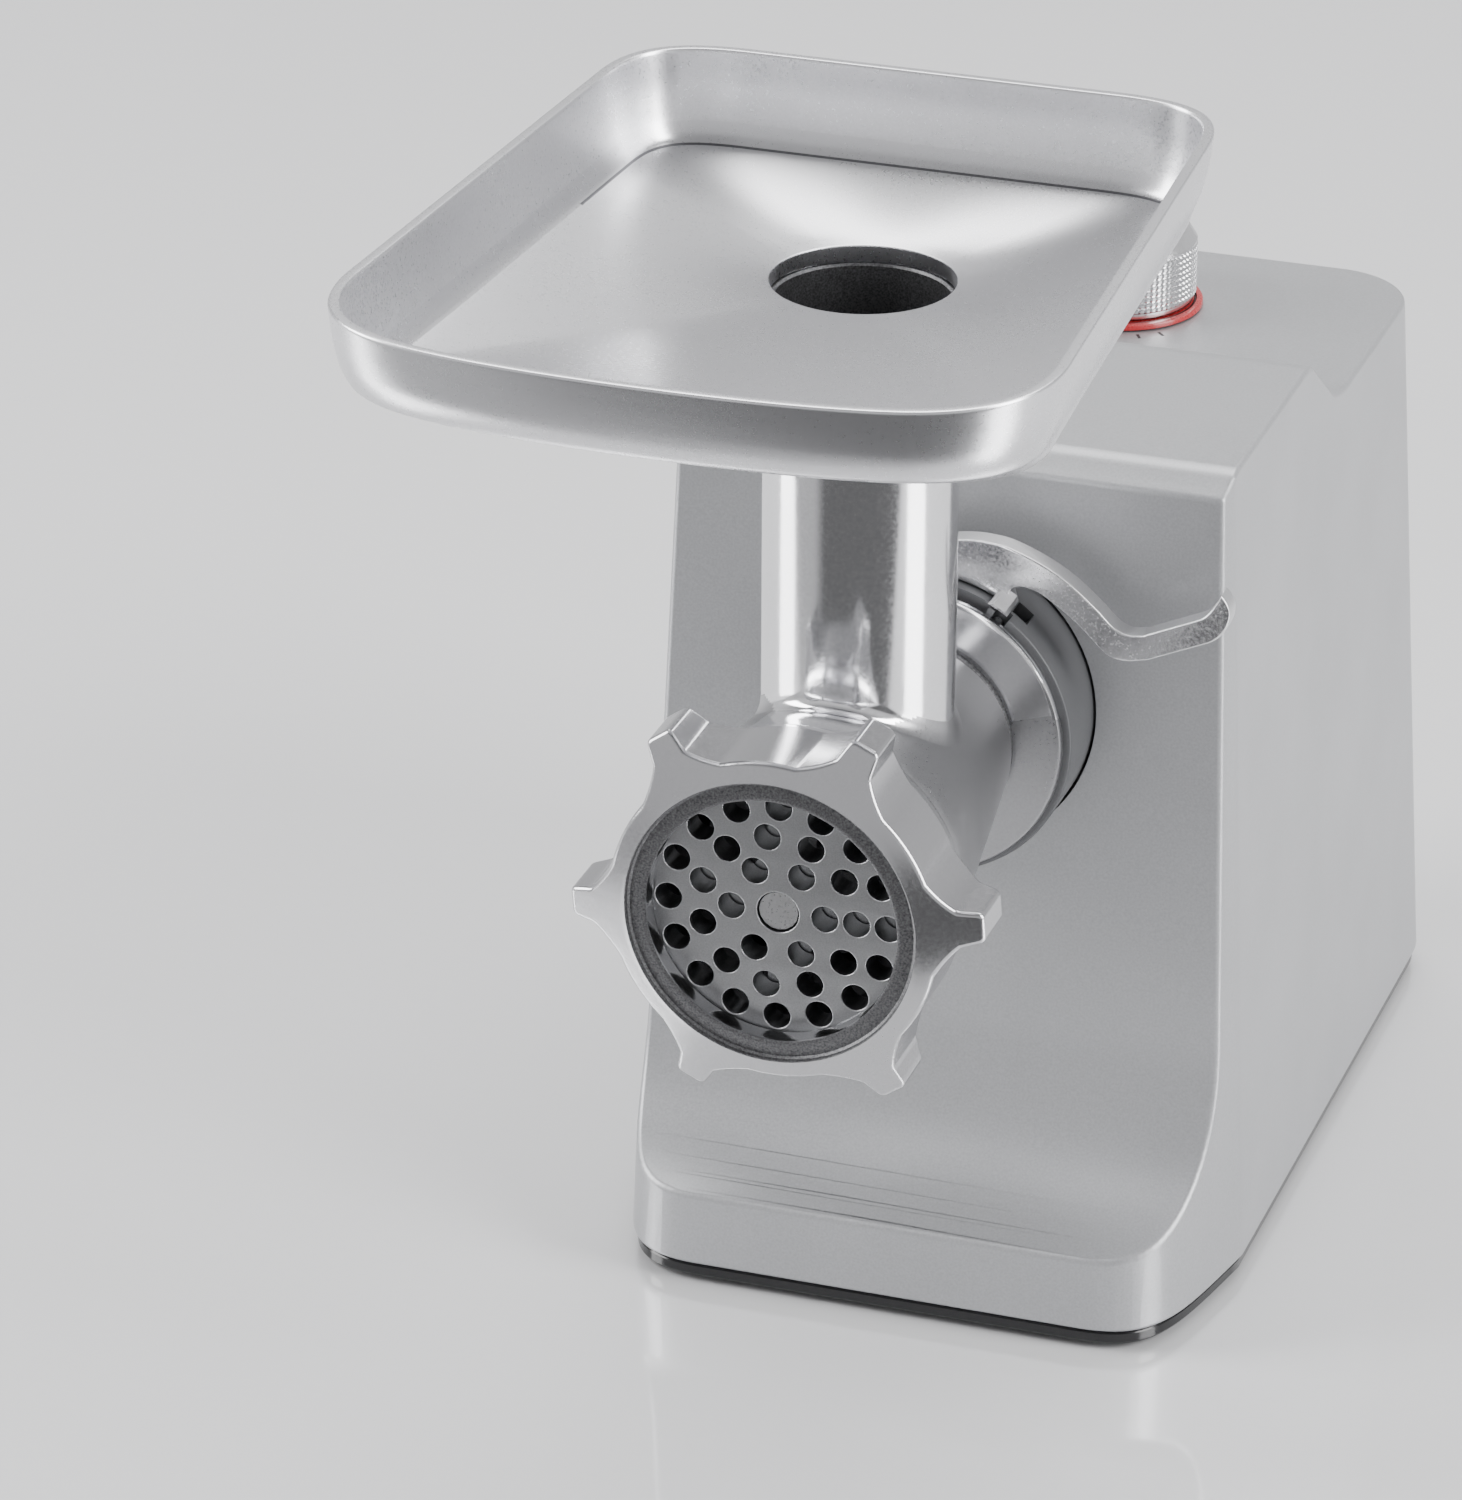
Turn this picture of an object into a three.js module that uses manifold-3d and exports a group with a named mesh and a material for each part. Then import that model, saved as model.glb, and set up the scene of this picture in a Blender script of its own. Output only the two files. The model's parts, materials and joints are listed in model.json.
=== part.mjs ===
// Electric meat grinder: cast feed head with auger, knife and disc, pull-off tray and geared motor.
// Units are millimetres. X runs across, Y from the outlet to the back, Z up.
// The origin is on the table, under the middle of the whole object.
import * as THREE from "three";
import { mergeVertices } from "three/addons/utils/BufferGeometryUtils.js";
import Module from "manifold-3d";

const wasm = await Module();
wasm.setup();

// ---------- Driving dimensions ----------
const GAP = 0.3; // between pieces that touch
const HALF_LENGTH = 201; // the tray's front edge and the housing's rear foot both reach it
const AXIS_Z = 142; // height of the feed head's axis, which runs along Y at X = 0

const HOUSING = {
  bottom: 5,
  top: 206,
  wall: 3,
  halfWidthBottom: 73.5,
  halfWidthTop: 64.8,
  footFront: -31.5,
  footTop: 23.3,
  panelAtAxis: 5.5,
  panelLean: 0.039,
  rearTop: 187,
  rearCorner: 20,
};
const DECK_Z = 185.5; // flat rear part of the housing's top, which carries the knob
const KNOB_Y = 147.5;

const SOCKET = { radius: 36, front: -12.4, bore: 29.4, flangeRadius: 46, flangeFront: 15, flangeBack: 19 };
const LEVER = { clawFront: -12.2, front: -8, back: -2.5, inner: 36.4, outer: 41 };
const NUT = {
  front: -117.6,
  depth: 21.4,
  radius: 37,
  edgeFront: -116.1, // the rounded front edge of the ring between the lugs
  lugTip: 46.6,
  tipFront: -112.8, // the lugs' front faces slope back to here
  tipBack: -100, // and their back faces slope forward to here
  lugs: 6,
  lugTurn: 5.2, // degrees from level to the middle of the first lug
  opening: 28,
  faceBore: 32.3,
  faceDepth: 1,
  lip: 5.6,
  bore: 33.7,
};
const DISC = { radius: 31, front: -111.7, thickness: 7, centreHole: 4.75, hole: 3 };
const KNIFE = { front: -104.4, thickness: 5.5, reach: 26.5, square: 9.4 };
const BARREL = { front: -109, threadRadius: 33.2, shoulder: -95.7, seat: 31.3, seatEnd: -97, rear: -16 };
const WORM = { front: -98.6, rear: -22.1, frontRadius: 27.3, rearRadius: 19, core: 9.5, turns: 3.5 };
const HEX_FLAT = 13;
const TUBE = { y: -56.9, outer: 21.3, inner: 19.2, top: 262.5 };
const TRAY = { rim: 297, hole: 20, holeZ: 266.5, under: 263, collar: 24.6, collarBottom: 249 };

// The tray's section as [inset, depth below the rim, backward sweep of the front wall].
const TRAY_OUTSIDE = [[14, 26, 16], [8, 23.6, 14.3], [5.1, 21, 10.5], [4.3, 18.5, 5], [3.5, 16.5, 1.2],
  [1.9, 12, 0], [0.8, 7, 0], [0, 0, 0]];
const TRAY_INSIDE = [[2.6, 0, 0], [3.3, 8, 0], [4.6, 14, 1.2], [5.8, 17.5, 7], [6.8, 19.3, 11],
  [8, 20.4, 13.5]];
const TRAY_SWEEP_FROM = -110; // the sweep grows from here to the tray's front

const KNOB = { radius: 18.8, topRadius: 16.6, low: 2, shoulder: 17, height: 20.5, ring: 20.5, ringTop: 1.7 };
const SPINDLE_RADIUS = 3;
const GLAND = { x: 42, z: 30, radius: 9.5, neck: 6, bore: 3.6, inner: 188, flange: 198.5, back: 200.6 };
const VENTS = { count: 6, pitch: 8, low: 62, height: 3, halfWidth: 32 };

// Three gear stages, from the motor's pinion up to the output shaft.
const STAGES = [
  { pinion: 10, gear: 50, module: 1.2 },
  { pinion: 12, gear: 40, module: 1.5 },
  { pinion: 12, gear: 36, module: 2 },
];
const BOX = { front: 19.3, wall: 3.5, coverFront: 59.3, coverBack: 62.8 };
const MOTOR = { stackFront: 84, stackBack: 124, rotor: 21.5, bore: 22.4, shaft: 4, shaftEnd: 172 };

const centreDistance = (stage) => (stage.module * (stage.pinion + stage.gear)) / 2;
const polar = (radius, angle) => new THREE.Vector2(radius * Math.cos(angle), radius * Math.sin(angle));
const radians = THREE.MathUtils.degToRad;

// Gear centres in the plane across the head's axis: x across, y standing for Z.
const OUTPUT_CENTRE = new THREE.Vector2(0, AXIS_Z);
const SECOND_CENTRE = OUTPUT_CENTRE.clone().add(polar(centreDistance(STAGES[2]), radians(-60)));
const FIRST_CENTRE = SECOND_CENTRE.clone().add(polar(centreDistance(STAGES[1]), radians(200)));
const motorRise = -Math.acos(-FIRST_CENTRE.x / centreDistance(STAGES[0]));
const MOTOR_CENTRE = FIRST_CENTRE.clone().add(polar(centreDistance(STAGES[0]), motorRise));
const SOCKET_SCREWS = [90, 210, 330].map((angle) => polar(41, radians(angle)).add(OUTPUT_CENTRE));
const KEY_CENTRE = new THREE.Vector2(0, AXIS_Z + DISC.radius);
const PIN_CENTRE = polar(32.3, radians(57.5)).add(OUTPUT_CENTRE);
const GLAND_CENTRE = new THREE.Vector2(GLAND.x, GLAND.z);

// ---------- Geometry helpers ----------
// A solid for joining and cutting, from any closed geometry.
function solid(geometry) {
  const bare = new THREE.BufferGeometry();
  bare.setAttribute("position", geometry.getAttribute("position"));
  bare.setIndex(geometry.index);
  const merged = mergeVertices(bare, 1e-4);
  const corners = merged.index.array;
  const kept = [];
  for (let i = 0; i < corners.length; i += 3) {
    const [a, b, c] = [corners[i], corners[i + 1], corners[i + 2]];
    if (a !== b && b !== c && c !== a) kept.push(a, b, c);
  }
  const vertProperties = new Float32Array(merged.attributes.position.array);
  return new wasm.Manifold(new wasm.Mesh({ numProp: 3, vertProperties, triVerts: new Uint32Array(kept) }));
}

function geometryOf(body) {
  const mesh = body.getMesh();
  const geometry = new THREE.BufferGeometry();
  geometry.setAttribute("position", new THREE.BufferAttribute(new Float32Array(mesh.vertProperties), 3));
  geometry.setIndex(new THREE.BufferAttribute(new Uint32Array(mesh.triVerts), 1));
  const flat = geometry.toNonIndexed();
  flat.computeVertexNormals();
  return flat;
}

const join = (...geometries) => geometryOf(geometries.map(solid).reduce((a, b) => a.add(b)));
const cut = (geometry, ...tools) =>
  geometryOf(tools.map(solid).reduce((a, b) => a.subtract(b), solid(geometry)));
const meet = (...geometries) => geometryOf(geometries.map(solid).reduce((a, b) => a.intersect(b)));

function box(x0, x1, y0, y1, z0, z1) {
  const geometry = new THREE.BoxGeometry(x1 - x0, y1 - y0, z1 - z0);
  return geometry.translate((x0 + x1) / 2, (y0 + y1) / 2, (z0 + z1) / 2);
}

// An outline in (x, z) pushed along Y from y0 to y1.
function extrudeY(shape, y0, y1, curveSegments = 12) {
  const geometry = new THREE.ExtrudeGeometry(shape, { depth: y1 - y0, bevelEnabled: false, curveSegments });
  return geometry.rotateX(Math.PI / 2).translate(0, y1, 0);
}

// An outline in (x, y) pushed along Z from z0 to z1.
function extrudeZ(shape, z0, z1, curveSegments = 12) {
  const geometry = new THREE.ExtrudeGeometry(shape, { depth: z1 - z0, bevelEnabled: false, curveSegments });
  return geometry.translate(0, 0, z0);
}

// An outline in (y, z) pushed along X from x0 to x1.
function extrudeX(shape, x0, x1, curveSegments = 12) {
  const geometry = new THREE.ExtrudeGeometry(shape, { depth: x1 - x0, bevelEnabled: false, curveSegments });
  const axes = [new THREE.Vector3(0, 1, 0), new THREE.Vector3(0, 0, 1), new THREE.Vector3(1, 0, 0)];
  return geometry.applyMatrix4(new THREE.Matrix4().makeBasis(...axes)).translate(x0, 0, 0);
}

// A profile of [radius, y] pairs turned about the line along Y through centre (x, z).
function turnedY(profile, centre = OUTPUT_CENTRE, segments = 28) {
  const points = profile.map(([radius, y]) => new THREE.Vector2(radius, y));
  return new THREE.LatheGeometry(points, segments).translate(centre.x, 0, centre.y);
}

// A profile of [radius, z] pairs turned about the upright line through (x, y).
function turnedZ(profile, x, y, segments = 32) {
  const points = profile.map(([radius, z]) => new THREE.Vector2(radius, z));
  return new THREE.LatheGeometry(points, segments).rotateX(Math.PI / 2).translate(x, y, 0);
}

const rodY = (radius, y0, y1, centre, segments) =>
  turnedY([[0, y0], [radius, y0], [radius, y1], [0, y1]], centre, segments);
const rodZ = (radius, z0, z1, x, y, segments) =>
  turnedZ([[0, z0], [radius, z0], [radius, z1], [0, z1]], x, y, segments);
const ringY = (inner, outer, y0, y1, centre, segments) =>
  turnedY([[inner, y0], [outer, y0], [outer, y1], [inner, y1], [inner, y0]], centre, segments);
const ringZ = (inner, outer, z0, z1, x, y, segments) =>
  turnedZ([[inner, z0], [outer, z0], [outer, z1], [inner, z1], [inner, z0]], x, y, segments);

// Moves a counter-clockwise outline inwards by a distance.
function inset(points, distance) {
  return points.map((point, i) => {
    const before = points[(i + points.length - 1) % points.length];
    const after = points[(i + 1) % points.length];
    const arriving = point.clone().sub(before).normalize();
    const leaving = after.clone().sub(point).normalize();
    const inward = new THREE.Vector2(-arriving.y - leaving.y, arriving.x + leaving.x).normalize();
    const square = new THREE.Vector2(-arriving.y, arriving.x);
    return point.clone().addScaledVector(inward, distance / inward.dot(square));
  });
}

// Skins a list of equal rings of points. A looped list closes on itself, any other gets two end caps.
function loft(rings, looped = false) {
  const count = rings[0].length;
  const positions = rings.flat().flatMap((p) => [p.x, p.y, p.z]);
  const index = [];
  const bands = looped ? rings.length : rings.length - 1;
  for (let band = 0; band < bands; band += 1) {
    const low = band * count;
    const high = ((band + 1) % rings.length) * count;
    for (let i = 0; i < count; i += 1) {
      const next = (i + 1) % count;
      index.push(low + i, low + next, high + next, low + i, high + next, high + i);
    }
  }
  if (!looped) {
    const last = (rings.length - 1) * count;
    for (let i = 1; i < count - 1; i += 1) {
      index.push(0, i + 1, i, last, last + i, last + i + 1);
    }
  }
  const geometry = new THREE.BufferGeometry();
  geometry.setAttribute("position", new THREE.Float32BufferAttribute(positions, 3));
  geometry.setIndex(index);
  geometry.computeVertexNormals();
  return geometry;
}

const atHeight = (points, z) => points.map((p) => new THREE.Vector3(p.x, p.y, z));

function shapeOf(points) {
  return new THREE.Shape(points);
}

function circleHole(shape, x, y, radius) {
  const hole = new THREE.Path();
  hole.absarc(x, y, radius, 0, 2 * Math.PI, true);
  shape.holes.push(hole);
}

// A regular polygon outline given by its width across flats.
function polygonShape(sides, acrossFlats, centre) {
  const radius = acrossFlats / 2 / Math.cos(Math.PI / sides);
  const corners = Array.from({ length: sides }, (_, i) =>
    polar(radius, ((i + 0.5) * 2 * Math.PI) / sides).add(centre),
  );
  return shapeOf(corners);
}

// Convex outline around circles given as { centre, radius }.
function hullOf(circles) {
  const points = circles.flatMap(({ centre, radius }) =>
    Array.from({ length: 20 }, (_, i) => polar(radius, (i * Math.PI) / 10).add(centre)),
  );
  points.sort((a, b) => a.x - b.x || a.y - b.y);
  const turn = (o, a, b) => (a.x - o.x) * (b.y - o.y) - (a.y - o.y) * (b.x - o.x);
  const half = (list) => {
    const chain = [];
    list.forEach((p) => {
      while (chain.length > 1 && turn(chain.at(-2), chain.at(-1), p) <= 1e-6) chain.pop();
      chain.push(p);
    });
    return chain.slice(0, -1);
  };
  return [...half(points), ...half([...points].reverse())];
}

// Spur gear outline with straight-sided teeth. One tooth is centred on the phase angle.
function gearShape(teeth, module, phase, centre) {
  const pitch = (2 * Math.PI) / teeth;
  const root = (module * teeth) / 2 - 1.2 * module;
  const tip = (module * teeth) / 2 + 0.9 * module;
  const points = [];
  for (let tooth = 0; tooth < teeth; tooth += 1) {
    const middle = phase + tooth * pitch;
    points.push(polar(root, middle - 0.3 * pitch), polar(tip, middle - 0.13 * pitch));
    points.push(polar(tip, middle + 0.13 * pitch), polar(root, middle + 0.3 * pitch));
  }
  return shapeOf(points.map((p) => p.add(centre)));
}

// ---------- The group and its materials ----------
const part = new THREE.Group();

function add(name, geometry, finish) {
  const mesh = new THREE.Mesh(geometry, new THREE.MeshStandardMaterial(finish));
  mesh.name = name;
  part.add(mesh);
}

const PAINT = { color: 0xb4b5b9, roughness: 0.42, metalness: 0.6 };
const DARK_PAINT = { color: 0x85868a, roughness: 0.5, metalness: 0.4 };
const CAST = { color: 0xc4c5c8, roughness: 0.25, metalness: 1 };
const SATIN = { color: 0xb9babd, roughness: 0.38, metalness: 1 };
const STEEL = { color: 0x9da0a4, roughness: 0.3, metalness: 1 };
const BLACK = { color: 0x17181a, roughness: 0.55, metalness: 0 };
const RUBBER = { color: 0x101112, roughness: 0.9, metalness: 0 };
const RED = { color: 0xb4262b, roughness: 0.35, metalness: 0 };
const NYLON = { color: 0xe4e2d8, roughness: 0.5, metalness: 0 };
const COPPER = { color: 0xb5652c, roughness: 0.35, metalness: 1 };
const LAMINATION = { color: 0x5c5f63, roughness: 0.5, metalness: 0.9 };
const CARBON = { color: 0x2b2b2d, roughness: 0.7, metalness: 0.2 };
const BRASS = { color: 0xb89a4e, roughness: 0.3, metalness: 1 };
const BOARD = { color: 0x2d5b3c, roughness: 0.5, metalness: 0 };

// ---------- Housing ----------
const panelY = (z) => HOUSING.panelAtAxis + HOUSING.panelLean * (z - AXIS_Z);

// Side outline in (y, z): foot, hollow front, hood, flat top, step and rear deck.
function sideOutline() {
  const outline = new THREE.Path();
  const hoodLow = 198.4;
  outline.moveTo(HALF_LENGTH, HOUSING.bottom);
  outline.lineTo(HOUSING.rearTop, DECK_Z);
  outline.lineTo(115, DECK_Z);
  outline.quadraticCurveTo(103.5, DECK_Z + 0.3, 99.6, 189.3);
  outline.lineTo(84.5, 200.5);
  outline.quadraticCurveTo(81.5, 203.3, 79, 203.2);
  outline.lineTo(15, 202.5);
  outline.lineTo(panelY(hoodLow), hoodLow);
  outline.lineTo(panelY(64), 64);
  outline.quadraticCurveTo(0.5, 33, HOUSING.footFront, HOUSING.footTop);
  outline.lineTo(HOUSING.footFront, HOUSING.bottom);
  return outline.getPoints(6).slice(0, -1).concat(new THREE.Vector2(HOUSING.footFront, HOUSING.bottom));
}

// Plan outline at a given half width: broad front corners, rounder rear corners.
function planOutline(halfWidth, rear) {
  const slim = halfWidth / HOUSING.halfWidthBottom;
  const right = new THREE.Path();
  right.moveTo(46 * slim, HOUSING.footFront);
  right.bezierCurveTo(66 * slim, HOUSING.footFront, 67.5 * slim, -18, halfWidth, 14);
  const corner = HOUSING.rearCorner;
  right.lineTo(halfWidth, rear - corner);
  right.absarc(halfWidth - corner, rear - corner, corner, 0, Math.PI / 2);
  const points = right.getPoints(5).filter((p, i, all) => i === 0 || p.distanceTo(all[i - 1]) > 1e-3);
  const left = [...points].reverse().map((p) => new THREE.Vector2(-p.x, p.y));
  return [...points, ...left];
}

const bottomPlan = planOutline(HOUSING.halfWidthBottom, HALF_LENGTH);
const topPlan = planOutline(HOUSING.halfWidthTop, HOUSING.rearTop - 1);

// The drafted block that the plan outlines span, moved inwards by a distance.
function draftedBlock(distance) {
  const span = HOUSING.top - HOUSING.bottom;
  const below = 10;
  const stretched = bottomPlan.map((p, i) => p.clone().lerp(topPlan[i], -below / span));
  const low = distance ? stretched : bottomPlan;
  const z = distance ? HOUSING.bottom - below : HOUSING.bottom;
  return loft([atHeight(inset(low, distance), z), atHeight(inset(topPlan, distance), HOUSING.top)]);
}

const BASE_SCREWS = [[-57, 2], [57, 2], [-57, 178], [57, 178]];

function housingGeometry() {
  const side = sideOutline();
  const outer = meet(draftedBlock(0), extrudeX(shapeOf(side), -90, 90));
  const hollowSide = inset(side, HOUSING.wall);
  hollowSide.forEach((p) => {
    if (p.y < HOUSING.bottom + HOUSING.wall + 1) p.y = HOUSING.bottom - 9;
  });
  const hollow = meet(draftedBlock(HOUSING.wall), extrudeX(shapeOf(hollowSide), -90, 90));
  const posts = BASE_SCREWS.map(([x, y]) => rodZ(5.5, 9, 21, x, y, 10));
  const ribs = BASE_SCREWS.map(([x, y]) => {
    const [xa, xb] = [x, x + 13 * Math.sign(x)].sort((a, b) => a - b);
    return box(xa, xb, y - 1.5, y + 1.5, 9, 21);
  });
  const shell = cut(outer, hollow);
  const posted = meet(join(shell, ...posts, ...ribs), outer);
  const screwHoles = BASE_SCREWS.map(([x, y]) => rodZ(2, 0, 18, x, y, 8));
  const socketHole = rodY(SOCKET.radius + 0.7, -12, 20, OUTPUT_CENTRE, 36);
  const knobHole = rodZ(6, 175, 190, 0, KNOB_Y, 20);
  const glandPocket = rodY(GLAND.radius + 1.5, GLAND.flange - GAP, 210, GLAND_CENTRE, 20);
  const glandHole = rodY(GLAND.neck + 0.4, 180, 210, GLAND_CENTRE, 20);
  const vents = Array.from({ length: VENTS.count }, (_, i) => {
    const z = VENTS.low + i * VENTS.pitch;
    return box(-VENTS.halfWidth, VENTS.halfWidth, 180, 210, z, z + VENTS.height);
  });
  return cut(posted, ...screwHoles, socketHole, knobHole, glandHole, glandPocket, ...vents);
}
add("housing", housingGeometry(), PAINT);

// ---------- Base ----------
const FEET = {
  front_left: [-54, -14],
  front_right: [54, -14],
  rear_left: [-56, 160],
  rear_right: [56, 160],
};

// The plate shows as a dark band under the housing, and its upper part fits inside the walls.
function basePlate() {
  const inside = inset(bottomPlan, HOUSING.wall + 0.5);
  inside.forEach((p) => p.setY(Math.min(p.y, HALF_LENGTH - HOUSING.wall - 1.6)));
  const band = extrudeZ(shapeOf(inset(bottomPlan, 1)), 1.4, HOUSING.bottom - GAP);
  const plate = join(band, extrudeZ(shapeOf(inside), 4, 8.2));
  const holes = BASE_SCREWS.map(([x, y]) => rodZ(1.8, 0, 10, x, y, 8));
  const seats = BASE_SCREWS.map(([x, y]) => rodZ(4, 0, 6, x, y, 10));
  const footSeats = Object.values(FEET).map(([x, y]) => rodZ(9.6, 0, 2.8, x, y, 14));
  const slots = [90, 102, 114, 126].map((y) => box(-26, 26, y, y + 4, 0, 10));
  return cut(plate, ...holes, ...seats, ...footSeats, ...slots);
}
add("base_plate", basePlate(), BLACK);

Object.entries(FEET).forEach(([place, [x, y]]) => {
  add("foot_" + place, turnedZ([[0, 0], [8, 0], [9, 1], [9, 2.5], [0, 2.5]], x, y, 14), RUBBER);
});
BASE_SCREWS.forEach(([x, y], i) => {
  const profile = [[0, 3.6], [3.5, 3.6], [3.5, 5.7], [1.4, 5.7], [1.4, 17], [0, 17]];
  add("base_screw_" + (i + 1), turnedZ(profile, x, y, 8), STEEL);
});

// ---------- Docking socket and lever ----------
function socketGeometry() {
  const { radius, front, bore, flangeRadius, flangeFront, flangeBack } = SOCKET;
  const profile = [[bore, front], [radius - 1, front], [radius, front + 1], [radius, flangeFront]];
  profile.push([flangeRadius, flangeFront], [flangeRadius, flangeBack], [10.5, flangeBack]);
  profile.push([10.5, 15.3], [16, 15.3], [16, 9], [bore, 9], [bore, front]);
  const socket = turnedY(profile, OUTPUT_CENTRE, 30);
  const notch = (from, to, y0, y1) => {
    const arc = [0, 1, 2, 3].map((i) => polar(radius + 5, THREE.MathUtils.lerp(from, to, i / 3)));
    const corners = [polar(bore - 2, from), ...arc, polar(bore - 2, to)];
    return extrudeY(shapeOf(corners.map((p) => p.add(OUTPUT_CENTRE))), y0, y1);
  };
  const pinNotch = notch(radians(54.5), radians(60.5), front - 2, front + 3.4);
  const keyNotch = notch(radians(63), radians(86), front - 2, front + 1.6);
  const catchWindow = notch(radians(48.5), radians(55.5), front + 4.4, front + 10);
  const screwHoles = SOCKET_SCREWS.map((c) => rodY(2, 10, 20, c, 8));
  return cut(socket, pinNotch, keyNotch, catchWindow, ...screwHoles);
}
add("dock_socket", socketGeometry(), DARK_PAINT);
SOCKET_SCREWS.forEach((centre, i) => {
  const profile = [[0, 12.2], [3.4, 12.2], [3.4, 14.7], [1.6, 14.7], [1.6, 21.6], [0, 21.6]];
  add("dock_screw_" + (i + 1), turnedY(profile, centre, 8), STEEL);
});

// The lever hugs the socket's top and runs out to the right in a long S with a turned-up tip. A claw
// where its arm leaves the socket reaches forward over the socket's edge.
function leverGeometry() {
  const start = radians(56);
  const end = radians(140);
  const through = (...points) => points.map(([x, y]) => new THREE.Vector2(x, y));
  const outline = new THREE.Shape();
  outline.absarc(0, 0, LEVER.inner, start, end, false);
  outline.absarc(0, 0, LEVER.outer, end, radians(112), true);
  outline.bezierCurveTo(-7.4, 41.2, 4, 45.8, 12.8, 45.7);
  const upper = through(
    [18.8, 45], [27, 41.9], [33.8, 37.9], [39.8, 32.9], [43.6, 29.3], [46.8, 27.8], [50.6, 28.2],
  );
  outline.splineThru(upper);
  outline.lineTo(63.6, 34.1);
  outline.quadraticCurveTo(65.8, 35.3, 68.2, 40.4);
  outline.quadraticCurveTo(71.3, 37.2, 69.9, 33.4);
  outline.quadraticCurveTo(68.9, 30.4, 65.8, 28.5);
  outline.lineTo(51.9, 22.3);
  const lower = through([46.4, 21.3], [42.3, 22.3], [38.5, 25.7], [33.9, 29.9], [26.9, 34.6], [23.2, 35.7]);
  outline.splineThru(lower);
  outline.quadraticCurveTo(18.6, 36, 19.6, 32.6);
  const arm = extrudeY(outline, LEVER.front, LEVER.back, 3);
  const rim = [56, 60, 65, 70].map((angle) => polar(LEVER.inner, radians(angle)));
  const section = shapeOf([...rim, polar(39.2, radians(63)), polar(39.5, radians(58))]);
  const claw = extrudeY(section, LEVER.clawFront, LEVER.front + 0.5);
  return join(arm, claw).translate(0, 0, AXIS_Z);
}
add("lock_lever", leverGeometry(), CAST);

// ---------- Feed head ----------
function headGeometry() {
  const { front, threadRadius, shoulder, seat, seatEnd, rear } = BARREL;
  const outside = turnedY([
    [0, front], [threadRadius, front], [threadRadius, shoulder], [36, shoulder], [36, shoulder + 3],
    [34, shoulder + 6], [24.4, rear - 4], [23.8, rear - 3], [23.8, rear + 0.8], [33.4, rear + 0.8],
    [34.3, rear + 1.6], [34.3, rear + 3.3], [29, rear + 3.3], [29, 4], [0, 4],
  ], OUTPUT_CENTRE, 32);
  const flare = turnedZ([
    [0, AXIS_Z], [26, AXIS_Z], [24.4, 161], [22.4, 169], [TUBE.outer, 176],
    [TUBE.outer, TUBE.top], [0, TUBE.top],
  ], 0, TUBE.y, 28);
  const worm = turnedY([
    [0, front - 5], [seat, front - 5], [seat, seatEnd], [WORM.frontRadius + 0.8, seatEnd],
    [WORM.rearRadius + 0.8, rear - 4.5], [0, rear - 4.5],
  ], OUTPUT_CENTRE, 26);
  const shaftHole = rodY(10.5, -30, 10, OUTPUT_CENTRE, 16);
  const spigotHollow = rodY(25, rear + 4.6, 10, OUTPUT_CENTRE, 22);
  const throat = rodZ(TUBE.inner, AXIS_Z, 280, 0, TUBE.y, 24);
  const keySeat = rodY(1.9, -120, -103.5, KEY_CENTRE, 10);
  const pinSeat = rodY(1.6, -14.9, -9, PIN_CENTRE, 10);
  return cut(join(outside, flare), worm, shaftHole, spigotHollow, throat, keySeat, pinSeat);
}
add("feed_head", headGeometry(), CAST);
add("locating_pin", rodY(1.3, -14.5, -9.4, PIN_CENTRE, 10), STEEL);
add("disc_key", rodY(1.6, -110, -103.8, KEY_CENTRE, 10), STEEL);

// The cutting disc: three rings of holes, a centre bore and a notch for its key.
function discGeometry() {
  const shape = new THREE.Shape();
  shape.absarc(0, AXIS_Z, DISC.radius + 9, 0, 2 * Math.PI, false);
  [[10.5, 6], [17.6, 11], [24.7, 16]].forEach(([radius, count]) => {
    for (let i = 0; i < count; i += 1) {
      const p = polar(radius, (i * 2 * Math.PI) / count);
      circleHole(shape, p.x, AXIS_Z + p.y, DISC.hole);
    }
  });
  const back = DISC.front + DISC.thickness;
  const drilled = extrudeY(shape, DISC.front - 1, back + 1, 3);
  const blank = rodY(DISC.radius, DISC.front, back, OUTPUT_CENTRE, 36);
  const bores = [rodY(DISC.centreHole, DISC.front - 1, back + 1, OUTPUT_CENTRE, 18)];
  bores.push(rodY(2, DISC.front - 1, back + 1, KEY_CENTRE, 10));
  return cut(meet(drilled, blank), ...bores);
}
add("grinding_disc", discGeometry(), STEEL);

function knifeGeometry() {
  const points = [];
  for (let arm = 0; arm < 4; arm += 1) {
    const turn = (arm * Math.PI) / 2;
    const origin = new THREE.Vector2();
    const place = (x, y) => new THREE.Vector2(x, y).rotateAround(origin, turn).add(OUTPUT_CENTRE);
    points.push(place(9.5, -4.5), place(KNIFE.reach - 1.5, -4.5));
    points.push(place(KNIFE.reach - 3, 4), place(10, 5.5));
  }
  const knife = extrudeY(shapeOf(points), KNIFE.front, KNIFE.front + KNIFE.thickness);
  const square = extrudeY(polygonShape(4, KNIFE.square, OUTPUT_CENTRE), KNIFE.front - 2, KNIFE.front + 9);
  return cut(knife, square);
}
add("cross_knife", knifeGeometry(), STEEL);

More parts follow.
